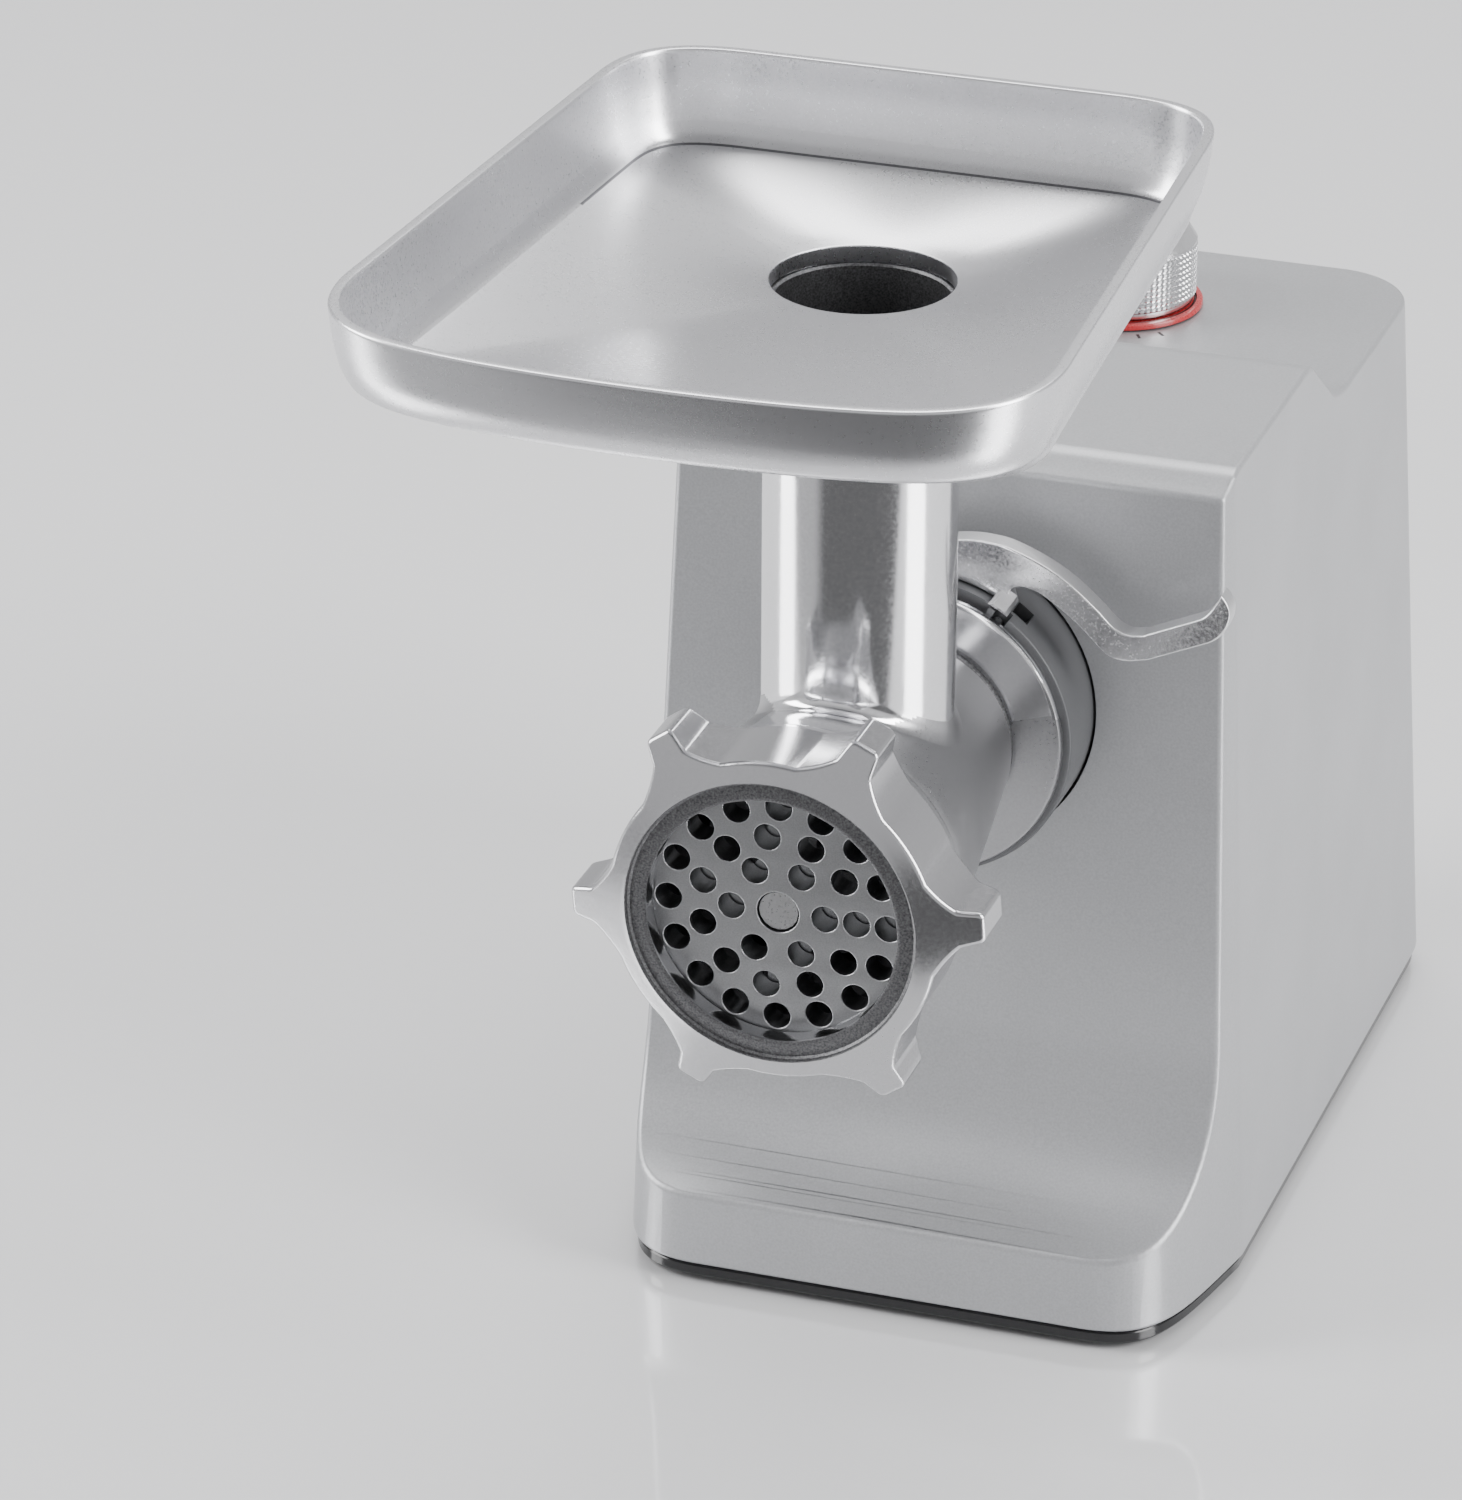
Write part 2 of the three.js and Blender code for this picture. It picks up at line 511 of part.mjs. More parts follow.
// The auger's flight is a thick ribbon on a helix that narrows towards the back.
function flightGeometry() {
  const steps = 42;
  const length = WORM.rear - WORM.front - 9;
  const rings = Array.from({ length: steps + 1 }, (_, i) => {
    const share = i / steps;
    const y = WORM.front + 3.5 + share * length;
    const angle = share * WORM.turns * 2 * Math.PI;
    const along = (y - WORM.front) / (WORM.rear - WORM.front);
    const outer = THREE.MathUtils.lerp(WORM.frontRadius, WORM.rearRadius, along);
    const corner = (radius, shift) => {
      const p = polar(radius, angle);
      return new THREE.Vector3(p.x, y + shift, p.y + AXIS_Z);
    };
    return [corner(6, -3.2), corner(outer - 0.7, -1.5), corner(outer - 0.7, 1.5), corner(6, 3.2)];
  });
  return loft(rings);
}

function augerGeometry() {
  const { front, rear, core } = WORM;
  const body = rodY(core, front, rear, OUTPUT_CENTRE, 24);
  const square = extrudeY(polygonShape(4, 9, OUTPUT_CENTRE), KNIFE.front - 0.1, front + 2);
  const stub = rodY(4.4, DISC.front + 0.7, front + 2, OUTPUT_CENTRE, 16);
  const shank = rodY(7.7, rear - 2, -9.5, OUTPUT_CENTRE, 24);
  const hex = extrudeY(polygonShape(6, HEX_FLAT, OUTPUT_CENTRE), -11, 8);
  return join(body, flightGeometry(), square, stub, shank, hex);
}
add("auger", augerGeometry(), CAST);

// A flanged bush carries the auger's shank in the head's rear wall.
const BUSH_PROFILE = [[8, -21.8], [13.5, -21.8], [13.5, -20.8], [10.2, -20.8], [10.2, -16.2], [8, -16.2],
  [8, -21.8]];
add("auger_bush", turnedY(BUSH_PROFILE, OUTPUT_CENTRE, 24), NYLON);

// ---------- Ring nut ----------
// One lug in its own frame: straight tapering flanks with fillets down to the ring.
function lugPoints() {
  const spread = radians(17);
  const at = (x, y) => new THREE.Vector2(x, y);
  const fillet = new THREE.QuadraticBezierCurve(polar(NUT.radius, spread), at(38.4, 6.4), at(41.4, 4.2));
  const upper = [...fillet.getPoints(4), at(NUT.lugTip - 0.9, 3.4), at(NUT.lugTip, 2.5)];
  const lower = upper.map((p) => at(p.x, -p.y));
  const bow = [25, 35].map((angle) => polar(NUT.radius, radians(angle)));
  return [...lower, ...upper.reverse(), ...bow];
}

function nutGeometry() {
  const { front, depth, radius, edgeFront, lugTip, tipFront, tipBack } = NUT;
  const { opening, faceBore, faceDepth, lip, bore } = NUT;
  const origin = new THREE.Vector2();
  const outline = Array.from({ length: NUT.lugs }, (_, lug) => {
    const turn = radians(NUT.lugTurn + (lug * 360) / NUT.lugs);
    return lugPoints().map((p) => p.rotateAround(origin, turn).add(OUTPUT_CENTRE));
  }).flat();
  const back = front + depth;
  const envelope = turnedY([
    [0, front], [radius - 2.2, front], [radius, edgeFront], [lugTip, tipFront], [lugTip + 0.6, tipFront + 1],
    [lugTip + 0.6, tipBack], [radius + 1.2, back], [0, back],
  ], OUTPUT_CENTRE, 72);
  const hollow = turnedY([
    [0, front - 1], [faceBore, front - 1], [faceBore, front + faceDepth], [opening, front + faceDepth],
    [opening, front + lip], [bore, front + lip], [bore, back + 1], [0, back + 1],
  ], OUTPUT_CENTRE, 48);
  return cut(meet(extrudeY(shapeOf(outline), front - 1, back + 1), envelope), hollow);
}
add("ring_nut", nutGeometry(), SATIN);

// ---------- Tray ----------
// Rounded trapezoid that is widest ahead of its middle, with a slightly bowed front.
function trayOutline() {
  const right = new THREE.Path();
  right.moveTo(0, -HALF_LENGTH);
  right.quadraticCurveTo(30, -HALF_LENGTH, 48, -197);
  right.bezierCurveTo(66, -193, 76, -183, 75.8, -163);
  right.lineTo(68.5, -32);
  right.bezierCurveTo(67.5, -14, 58, -8.2, 42, -8);
  right.lineTo(0, -8);
  const points = right.getSpacedPoints(20);
  const left = points.slice(1, -1).reverse().map((p) => new THREE.Vector2(-p.x, p.y));
  return [...points, ...left];
}

// The walls stand on a floor that falls from them to the hole over the feed tube.
function trayGeometry() {
  const outline = trayOutline();
  const centre = new THREE.Vector2(0, TUBE.y);
  const circle = (radius, z) =>
    outline.map((p) => {
      const spot = p.clone().sub(centre).setLength(radius).add(centre);
      return new THREE.Vector3(spot.x, spot.y, z);
    });
  const level = ([distance, depth, sweep]) =>
    inset(outline, distance).map((p, i) => {
      const share = 1 - THREE.MathUtils.smoothstep(outline[i].y, -HALF_LENGTH, TRAY_SWEEP_FROM);
      return new THREE.Vector3(p.x, p.y + sweep * share, TRAY.rim - depth);
    });
  const { hole, holeZ, under, collar, collarBottom } = TRAY;
  const bore = TUBE.outer + 0.4;
  const lip = circle(hole, holeZ);
  const floorEdge = level(TRAY_INSIDE.at(-1));
  const floor = [0.75, 0.5, 0.25].map((share) =>
    lip.map((p, i) => {
      const spot = p.clone().lerp(floorEdge[i], share);
      return spot.setZ(THREE.MathUtils.lerp(p.z, floorEdge[i].z, share ** 1.2));
    }),
  );
  return loft([
    circle(bore, collarBottom), circle(collar, collarBottom), circle(collar, under - 2),
    circle(collar + 3, under + 0.6),
    ...TRAY_OUTSIDE.map(level), ...TRAY_INSIDE.map(level), ...floor,
    lip, circle(hole, under), circle(bore, under),
  ], true);
}
add("food_tray", trayGeometry(), CAST);

// ---------- Knob and switch ----------
function knobGeometry() {
  const { radius, topRadius, low, shoulder, height } = KNOB;
  const profile = [[0, low], [radius - 0.8, low], [radius, low + 1], [radius, shoulder]];
  profile.push([topRadius, height], [0, height]);
  const grip = turnedZ(profile.map(([r, z]) => [r, DECK_Z + z]), 0, KNOB_Y, 32);
  return cut(grip, rodZ(SPINDLE_RADIUS + GAP, DECK_Z, DECK_Z + 14, 0, KNOB_Y, 16));
}
add("control_knob", knobGeometry(), STEEL);
add("knob_ring", ringZ(6.4, KNOB.ring, DECK_Z + GAP, DECK_Z + KNOB.ringTop, 0, KNOB_Y, 28), RED);
add("switch_spindle", rodZ(SPINDLE_RADIUS, 164, DECK_Z + 13.6, 0, KNOB_Y, 16), STEEL);

function switchGeometry() {
  const body = box(-16, 16, KNOB_Y - 16, KNOB_Y + 16, 152, 174);
  const neck = rodZ(5, 173, DECK_Z - 1, 0, KNOB_Y, 20);
  return cut(join(body, neck), rodZ(SPINDLE_RADIUS + GAP, 162, 190, 0, KNOB_Y, 16));
}
add("rotary_switch", switchGeometry(), BLACK);

// ---------- Cord gland ----------
function glandGeometry() {
  const { radius, neck, bore, inner, flange, back } = GLAND;
  const profile = [[bore, inner], [neck, inner], [neck, flange], [radius, flange], [radius, back - 1]];
  profile.push([neck + 1, back], [bore, back], [bore, inner]);
  return turnedY(profile, GLAND_CENTRE, 20);
}
add("cord_gland", glandGeometry(), BLACK);

// ---------- Gearbox ----------
const boxCircles = (margin) => [
  { centre: OUTPUT_CENTRE, radius: 38.4 + margin },
  { centre: SECOND_CENTRE, radius: 31.2 + margin },
  { centre: FIRST_CENTRE, radius: 31 + margin },
  { centre: MOTOR_CENTRE, radius: 8 + margin },
];
const COVER_SCREWS = [radians(60), radians(150), radians(262)].map((angle, i) => {
  const anchors = [OUTPUT_CENTRE, OUTPUT_CENTRE, FIRST_CENTRE];
  const reach = [44.4, 44.4, 37];
  return polar(reach[i], angle).add(anchors[i]);
});
const boxOutline = hullOf(boxCircles(6.5));

function gearboxGeometry() {
  const { front, wall, coverFront } = BOX;
  const bosses = COVER_SCREWS.map((c) => rodY(4.6, front, coverFront - GAP, c, 14));
  const block = extrudeY(shapeOf(boxOutline), front, coverFront - GAP);
  const inside = extrudeY(shapeOf(hullOf(boxCircles(3))), front + wall, coverFront + 1);
  const shell = cut(block, inside);
  const filled = join(shell, ...bosses);
  const holes = COVER_SCREWS.map((c) => rodY(2, front + 8, coverFront + 1, c, 10));
  const socketHoles = SOCKET_SCREWS.map((c) => rodY(2, front - 1, front + wall + 1, c, 10));
  const bearingSeat = rodY(14.6, front - 1, front + wall + 1, OUTPUT_CENTRE, 20);
  const axleSeats = [SECOND_CENTRE, FIRST_CENTRE].map((c) => rodY(4, front + 1.2, front + wall + 1, c, 14));
  return cut(filled, ...holes, ...socketHoles, bearingSeat, ...axleSeats);
}
add("gearbox_housing", gearboxGeometry(), SATIN);

const BOARD_POSTS = [new THREE.Vector2(-24, 158), new THREE.Vector2(24, 158)];
const BOLT_CENTRES = [-1, 1].map((side) => new THREE.Vector2(MOTOR_CENTRE.x + side * 34, MOTOR_CENTRE.y));

function gearboxCover() {
  const { coverFront, coverBack } = BOX;
  const lugs = BOLT_CENTRES.map((centre) => ({ centre, radius: 5 }));
  const plate = extrudeY(shapeOf(hullOf([...boxCircles(6.5), ...lugs])), coverFront, coverBack);
  const boss = rodY(11.4, coverFront + 1, 67, MOTOR_CENTRE, 18);
  const posts = BOARD_POSTS.map((c) => rodY(3.6, coverBack - 1, 69.7, c, 12));
  const cuts = [
    rodY(8.5, coverFront + 1.2, 70, MOTOR_CENTRE, 18),
    rodY(6.8, coverFront - 1, 70, MOTOR_CENTRE, 14),
    rodY(6.5, coverFront - 1, coverBack - 1.2, OUTPUT_CENTRE, 14),
    ...[SECOND_CENTRE, FIRST_CENTRE].map((c) => rodY(4, coverFront - 1, coverBack - 1.2, c, 14)),
    ...COVER_SCREWS.map((c) => rodY(2, coverFront - 1, coverBack + 1, c, 10)),
    ...BOARD_POSTS.map((c) => rodY(1.5, coverBack + 1, 71, c, 8)),
    ...BOLT_CENTRES.map((c) => rodY(2.4, coverFront - 1, coverBack + 1, c, 10)),
  ];
  return cut(join(plate, boss, ...posts), ...cuts);
}
add("gearbox_cover", gearboxCover(), SATIN);
COVER_SCREWS.forEach((centre, i) => {
  const profile = [[0, 38], [1.7, 38], [1.7, 63.1], [3.5, 63.1], [3.5, 65.6], [0, 65.6]];
  add("gearbox_screw_" + (i + 1), turnedY(profile, centre, 8), STEEL);
});

// Output shaft: a hexagonal socket in front, a journal in the bearing and a flatted seat for its gear.
const OUTPUT_GEAR = { front: 25, back: 37 };
const outputShaft = join(
  turnedY([[0, -6], [14, -6], [14, 13], [10, 15.5], [10, 24.6], [0, 24.6]], OUTPUT_CENTRE, 32),
  extrudeY(polygonShape(6, 14, OUTPUT_CENTRE), 24, 40),
  rodY(6, 39, 61, OUTPUT_CENTRE, 20),
);
const shankSocket = extrudeY(polygonShape(6, HEX_FLAT + 0.7, OUTPUT_CENTRE), -8, 9.5);
add("output_shaft", cut(outputShaft, shankSocket), STEEL);
add("output_bearing", ringY(10.3, 14.1, 19.5, 22.6, OUTPUT_CENTRE, 20), STEEL);

// Each mesh has a tooth of the driving pinion in the middle of a gap of the driven gear.
const directionTo = (from, to) => to.clone().sub(from).angle();
const gapPhase = (teeth, angle) => angle + Math.PI / teeth;
const FIRST_LINE = directionTo(MOTOR_CENTRE, FIRST_CENTRE);
const SECOND_LINE = directionTo(FIRST_CENTRE, SECOND_CENTRE);
const OUTPUT_LINE = directionTo(SECOND_CENTRE, OUTPUT_CENTRE);

function gearWith(stage, phase, centre, y0, y1, borer) {
  const wheel = extrudeY(gearShape(stage.gear, stage.module, phase, centre), y0, y1);
  return borer ? cut(wheel, borer) : wheel;
}

const outputGearPhase = gapPhase(STAGES[2].gear, OUTPUT_LINE + Math.PI);
const hexBorer = extrudeY(polygonShape(6, 14.6, OUTPUT_CENTRE), 20, 45);
const outputGear = gearWith(
  STAGES[2], outputGearPhase, OUTPUT_CENTRE, OUTPUT_GEAR.front, OUTPUT_GEAR.back, hexBorer,
);
add("output_gear", outputGear, STEEL);

// A compound gear: the big wheel is driven, the pinion beside it drives the next stage.
function compoundGear(wheel, pinion, centre) {
  const driven = gearWith(wheel.stage, wheel.phase, centre, ...wheel.span);
  const outline = gearShape(pinion.stage.pinion, pinion.stage.module, pinion.phase, centre);
  return cut(join(driven, extrudeY(outline, ...pinion.span)), rodY(3.3, 20, 62, centre, 16));
}
const secondWheel = {
  stage: STAGES[1],
  phase: gapPhase(STAGES[1].gear, SECOND_LINE + Math.PI),
  span: [39, 47],
};
const firstWheel = {
  stage: STAGES[0],
  phase: gapPhase(STAGES[0].gear, FIRST_LINE + Math.PI),
  span: [48.5, 55.5],
};
const secondPinion = { stage: STAGES[2], phase: OUTPUT_LINE, span: [24.5, 39.5] };
const firstPinion = { stage: STAGES[1], phase: SECOND_LINE, span: [38.5, 49] };
add("second_gear", compoundGear(secondWheel, secondPinion, SECOND_CENTRE), STEEL);
add("first_gear", compoundGear(firstWheel, firstPinion, FIRST_CENTRE), NYLON);
add("second_axle", rodY(3, 20.8, 61, SECOND_CENTRE, 16), STEEL);
add("first_axle", rodY(3, 20.8, 61, FIRST_CENTRE, 16), STEEL);

// ---------- Motor ----------
const pinionOutline = gearShape(STAGES[0].pinion, STAGES[0].module, FIRST_LINE, MOTOR_CENTRE);
const motorPinion = extrudeY(pinionOutline, 48, 57.5);
const motorShaft = join(motorPinion, rodY(3.7, 57, 60, MOTOR_CENTRE, 20),
  rodY(MOTOR.shaft, 59.5, MOTOR.shaftEnd, MOTOR_CENTRE, 20));
add("motor_shaft", motorShaft, STEEL);
add("front_bearing", ringY(4.3, 8.1, 60.8, 66.8, MOTOR_CENTRE, 16), STEEL);

const ROTOR_SLOTS = 8;
const slotAngles = Array.from({ length: ROTOR_SLOTS }, (_, i) => (i * 2 * Math.PI) / ROTOR_SLOTS);

// A slab across the axis plane, from one radius to another, turned to an angle.
function spoke(r0, r1, width, y0, y1, angle, centre) {
  const origin = new THREE.Vector2();
  const corners = [[r0, -width / 2], [r1, -width / 2], [r1, width / 2], [r0, width / 2]];
  const placed = corners.map(([x, y]) => new THREE.Vector2(x, y).rotateAround(origin, angle).add(centre));
  return extrudeY(shapeOf(placed), y0, y1);
}

function armatureCore() {
  const core = ringY(MOTOR.shaft + GAP, MOTOR.rotor, MOTOR.stackFront, MOTOR.stackBack, MOTOR_CENTRE, 24);
  return cut(core, ...slotAngles.map((a) => spoke(11, 24, 3.6, 80, 130, a, MOTOR_CENTRE)));
}
add("armature_core", armatureCore(), LAMINATION);

function armatureWinding() {
  const frontRing = ringY(8, 18.5, 78.8, 83.6, MOTOR_CENTRE, 16);
  const rearRing = ringY(8, 18.5, 124.4, 131.5, MOTOR_CENTRE, 16);
  const bars = slotAngles.map((a) => spoke(11.6, 18.4, 2.8, 83, 125, a, MOTOR_CENTRE));
  return join(frontRing, rearRing, ...bars);
}
add("armature_winding", armatureWinding(), COPPER);
add("commutator", ringY(MOTOR.shaft + GAP, 11, 136, 150, MOTOR_CENTRE, 18), COPPER);

function fanGeometry() {
  const back = ringY(MOTOR.shaft + GAP, 30.5, 74.5, 76, MOTOR_CENTRE, 20);
  const hub = ringY(MOTOR.shaft + GAP, 9, 68, 75, MOTOR_CENTRE, 14);
  const blades = slotAngles.map((angle) => spoke(8, 30, 1.5, 69, 75, angle, MOTOR_CENTRE));
  return join(back, hub, ...blades);
}
add("cooling_fan", fanGeometry(), NYLON);

function statorGeometry() {
  const { stackFront: y0, stackBack: y1, bore } = MOTOR;
  const { x, y: z } = MOTOR_CENTRE;
  const block = meet(box(x - 39.5, x + 39.5, y0, y1, z - 33, z + 33), rodY(43, y0, y1, MOTOR_CENTRE, 32));
  const cuts = [rodY(bore, y0 - 1, y1 + 1, MOTOR_CENTRE, 28)];
  [-1, 1].forEach((side) => {
    const [xa, xb] = [x + side * 21, x + side * 29.4].sort((a, b) => a - b);
    const [xc, xd] = [x, x + side * 24].sort((a, b) => a - b);
    cuts.push(box(xa, xb, y0 - 1, y1 + 1, z + 15.6, z + 26.4));
    cuts.push(box(xa, xb, y0 - 1, y1 + 1, z - 26.4, z - 15.6));
    cuts.push(box(xc, xd, y0 - 1, y1 + 1, z + 15.6, z + 19));
    cuts.push(box(xc, xd, y0 - 1, y1 + 1, z - 19, z - 15.6));
  });
  cuts.push(...BOLT_CENTRES.map((c) => rodY(2.4, y0 - 1, y1 + 1, c, 10)));
  return cut(block, ...cuts);
}
add("stator_core", statorGeometry(), LAMINATION);

["left", "right"].forEach((name, i) => {
  const side = i === 0 ? -1 : 1;
  const [xa, xb] = [MOTOR_CENTRE.x + side * 23.6, MOTOR_CENTRE.x + side * 29].sort((a, b) => a - b);
  const z = MOTOR_CENTRE.y;
  const window = box(xa - 1, xb + 1, 83.7, 124.3, z - 16, z + 16);
  const coil = cut(box(xa, xb, 78.5, 129.5, z - 26, z + 26), window);
  add("field_coil_" + name, coil, COPPER);
});

function rearBracket() {
  const { x, y: z } = MOTOR_CENTRE;
  const bridge = box(x - 40, x + 40, 158, 162, z - 9, z + 9);
  const arms = [x - 35.5, x + 35.5].map((middle) => box(middle - 4, middle + 4, 130.5, 160, z - 6, z + 6));
  const hub = rodY(11.4, 155, 166, MOTOR_CENTRE, 16);
  const cuts = [rodY(8.5, 158.5, 170, MOTOR_CENTRE, 16), rodY(5.2, 150, 170, MOTOR_CENTRE, 12)];
  cuts.push(...BOLT_CENTRES.map((c) => rodY(2.4, 120, 170, c, 10)));
  return cut(join(bridge, ...arms, hub), ...cuts);
}
add("rear_bracket", rearBracket(), SATIN);
add("rear_bearing", ringY(4.3, 8.1, 158.8, 165.8, MOTOR_CENTRE, 16), STEEL);
BOLT_CENTRES.forEach((centre, i) => {
  const profile = [[0, 59.6], [2.1, 59.6], [2.1, 162.3], [3.8, 162.3], [3.8, 165.2], [0, 165.2]];
  add("motor_bolt_" + ["left", "right"][i], turnedY(profile, centre, 8), STEEL);
});

// Brushes stand against the commutator in their holders, which hang from the rear bracket.
["left", "right"].forEach((name, i) => {
  const side = i === 0 ? -1 : 1;
  const z = MOTOR_CENTRE.y;
  const span = (a, b) => [MOTOR_CENTRE.x + side * a, MOTOR_CENTRE.x + side * b].sort((p, q) => p - q);
  const [ha, hb] = span(13, 30);
  const [ba, bb] = span(11.5, 26);
  const channel = box(ba - 6, bb + 6, 139.6, 147.6, z - 3.4, z + 3.4);
  const holder = cut(box(ha, hb, 138, 157.7, z - 5, z + 5), channel);
  add("brush_holder_" + name, holder, BRASS);
  add("carbon_brush_" + name, box(ba, bb, 140, 147.2, z - 3, z + 3), CARBON);
});

// ---------- Control board ----------
const boardHoles = BOARD_POSTS.map((c) => rodY(1.7, 69, 73, c, 8));
add("control_board", cut(box(-34, 34, 70, 71.6, 118, 164), ...boardHoles), BOARD);
add("capacitor", box(-20, 4, 71.9, 84, 128, 144), RED);

export default part;
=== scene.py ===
"""Looks of an electric meat grinder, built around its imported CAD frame.

Lengths are in millimetres until a mesh is made of them, in Blender's metres.
"""

import json
import math

import bmesh
import bpy
from mathutils import Matrix, Vector


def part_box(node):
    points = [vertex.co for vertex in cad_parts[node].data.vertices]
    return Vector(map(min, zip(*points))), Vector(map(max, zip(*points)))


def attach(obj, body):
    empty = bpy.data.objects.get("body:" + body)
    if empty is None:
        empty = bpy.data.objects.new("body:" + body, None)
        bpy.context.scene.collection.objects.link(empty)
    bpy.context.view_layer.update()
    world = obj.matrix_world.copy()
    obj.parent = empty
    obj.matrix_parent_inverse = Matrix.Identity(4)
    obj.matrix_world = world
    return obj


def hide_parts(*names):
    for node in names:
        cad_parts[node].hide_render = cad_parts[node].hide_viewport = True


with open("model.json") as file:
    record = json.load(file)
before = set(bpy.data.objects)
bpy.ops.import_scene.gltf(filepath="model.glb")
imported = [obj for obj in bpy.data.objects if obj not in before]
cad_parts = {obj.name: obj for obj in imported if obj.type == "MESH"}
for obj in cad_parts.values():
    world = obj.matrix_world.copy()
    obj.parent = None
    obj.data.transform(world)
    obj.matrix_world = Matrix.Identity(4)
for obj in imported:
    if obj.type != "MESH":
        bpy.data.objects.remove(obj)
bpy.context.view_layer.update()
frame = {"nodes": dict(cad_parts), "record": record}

MM = 0.001


def node_box(name):
    """Lowest and highest corner of a CAD node, in millimetres."""
    low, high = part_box(name)
    return low / MM, high / MM


def node_centre(name):
    """Centre of a CAD node's box, in millimetres."""
    low, high = node_box(name)
    return (low + high) / 2


def opening_centre(name):
    """Centre of one of the record's stated openings, in millimetres."""
    openings = frame["record"]["physics"]["openings"]
    low, high = next(o["box_m"] for o in openings if o["name"] == name)
    return (Vector(low) + Vector(high)) / 2 / MM


# ---------- Sizes, from the frame where a node's box gives them ----------
DISC_LOW, DISC_HIGH = node_box("grinding_disc")
NUT_LOW, NUT_HIGH = node_box("ring_nut")
HOUSING_LOW, HOUSING_HIGH = node_box("housing")
HEAD_LOW, HEAD_HIGH = node_box("feed_head")
TRAY_LOW, TRAY_HIGH = node_box("food_tray")
LEVER_LOW, LEVER_HIGH = node_box("lock_lever")
KNOB_LOW, KNOB_HIGH = node_box("control_knob")
RING_LOW, RING_HIGH = node_box("knob_ring")
GLAND_LOW, GLAND_HIGH = node_box("cord_gland")
PLATE_LOW, PLATE_HIGH = node_box("base_plate")
SOCKET_FRONT = node_box("dock_socket")[0].y

AXIS_Z = (DISC_LOW.z + DISC_HIGH.z) / 2
TUBE_Y = opening_centre("feed_throat").y
KNOB_Y = (KNOB_LOW.y + KNOB_HIGH.y) / 2
DECK_Z = RING_LOW.z - 0.3
BOTTOM_Z = HOUSING_LOW.z
REAR_Y = HOUSING_HIGH.y
FRONT_Y = HOUSING_LOW.y

HOUSING = {
    "half_width_bottom": 73.5,
    "half_width_top": 64.8,
    "draft_top": 206,
    "rear_top": 186,
    "rear_corner": 20,
    "wall": 3,
    "edge": 1.3,
}
PANEL_AT_AXIS = 5.5
PANEL_LEAN = 0.039
VENTS = {"count": 6, "half_width": 32, "low": 62, "pitch": 8, "height": 3}
SOCKET = {"radius": 36, "hole": 36.7, "bore": 29.4, "flange": 46}
LEVER = {"inner": 36.4, "outer": 41, "depth": 5.5, "edge": 0.45}
TUBE = {"outer": 21.3, "inner": 19.2}
NUT = {
    "ring": 37,
    "tip": 46.6,
    "lugs": 6,
    "turn": 5.2,
    "edge_drop": 1.5,
    "tip_drop": 4.8,
    "back_drop": 3.8,
    "face_bore": 32.3,
    "opening": 28,
    "lip": 5.6,
    "bore": 33.7,
}
# Rings of round holes in the disc, as (radius of the ring, number of holes).
DISC_RINGS = ((10.5, 6), (17.6, 11), (24.7, 16))
DISC = {"hole": 3, "bore": 4.75, "key": 2, "edge": 0.3}
TRAY = {"hole": 20, "hole_z": 266.5, "under": 263, "collar": 24.6, "sweep_from": -110, "painted_reflection_from": -58}
# The tray's section as (inset, depth below the rim, backward sweep of the front wall).
TRAY_OUTSIDE = [(14, 26, 16), (8, 23.6, 14.3), (5.1, 21, 10.5), (4.3, 18.5, 5), (3.5, 16.5, 1.2),
                (1.9, 12, 0), (0.8, 7, 0), (0.1, 0.9, 0)]
TRAY_INSIDE = [(2.6, 0.9, 0), (3.3, 8, 0), (4.6, 14, 1.2), (5.8, 17.5, 7), (6.8, 19.3, 11), (8, 20.4, 13.5)]


# ---------- Outlines ----------
def polar(radius, degrees, centre=(0, 0)):
    angle = math.radians(degrees)
    return Vector((centre[0] + radius * math.cos(angle), centre[1] + radius * math.sin(angle)))


def arc(radius, start, end, steps, centre=(0, 0)):
    return [polar(radius, start + (end - start) * i / steps, centre) for i in range(steps + 1)]


def curve(points, steps):
    """A Bezier curve of any order through its control points, without its first point."""
    found = []
    for i in range(1, steps + 1):
        level = [Vector(p) for p in points]
        while len(level) > 1:
            level = [a.lerp(b, i / steps) for a, b in zip(level, level[1:])]
        found.append(level[0])
    return found


def rounded(points, radius, steps):
    """A closed outline with every corner rounded."""
    found = []
    count = len(points)
    for i, corner in enumerate(points):
        here = Vector(corner)
        before = (Vector(points[i - 1]) - here).normalized()
        after = (Vector(points[(i + 1) % count]) - here).normalized()
        reach = radius / math.tan(before.angle(after) / 2)
        found += [here + before * reach] + curve([here + before * reach, here, here + after * reach], steps)
    return found


def inset(points, distance):
    """Moves a counter-clockwise outline inwards by a distance."""
    found = []
    for i, point in enumerate(points):
        arriving = (point - points[i - 1]).normalized()
        leaving = (points[(i + 1) % len(points)] - point).normalized()
        inward = Vector((-arriving.y - leaving.y, arriving.x + leaving.x)).normalized()
        square = Vector((-arriving.y, arriving.x))
        found.append(point + inward * (distance / max(inward.dot(square), 0.3)))
    return found


def smooth_path(points, steps):
    """A Catmull-Rom curve through a list of points."""
    ends = [points[0] * 2 - points[1], *points, points[-1] * 2 - points[-2]]
    found = [points[0]]
    for a, b, c, d in zip(ends, ends[1:], ends[2:], ends[3:]):
        for i in range(1, steps + 1):
            t = i / steps
            bend = (2 * a - 5 * b + 4 * c - d) * t**2
            twist = (3 * b - a - 3 * c + d) * t**3
            found.append(0.5 * (2 * b + (c - a) * t + bend + twist))
    return found


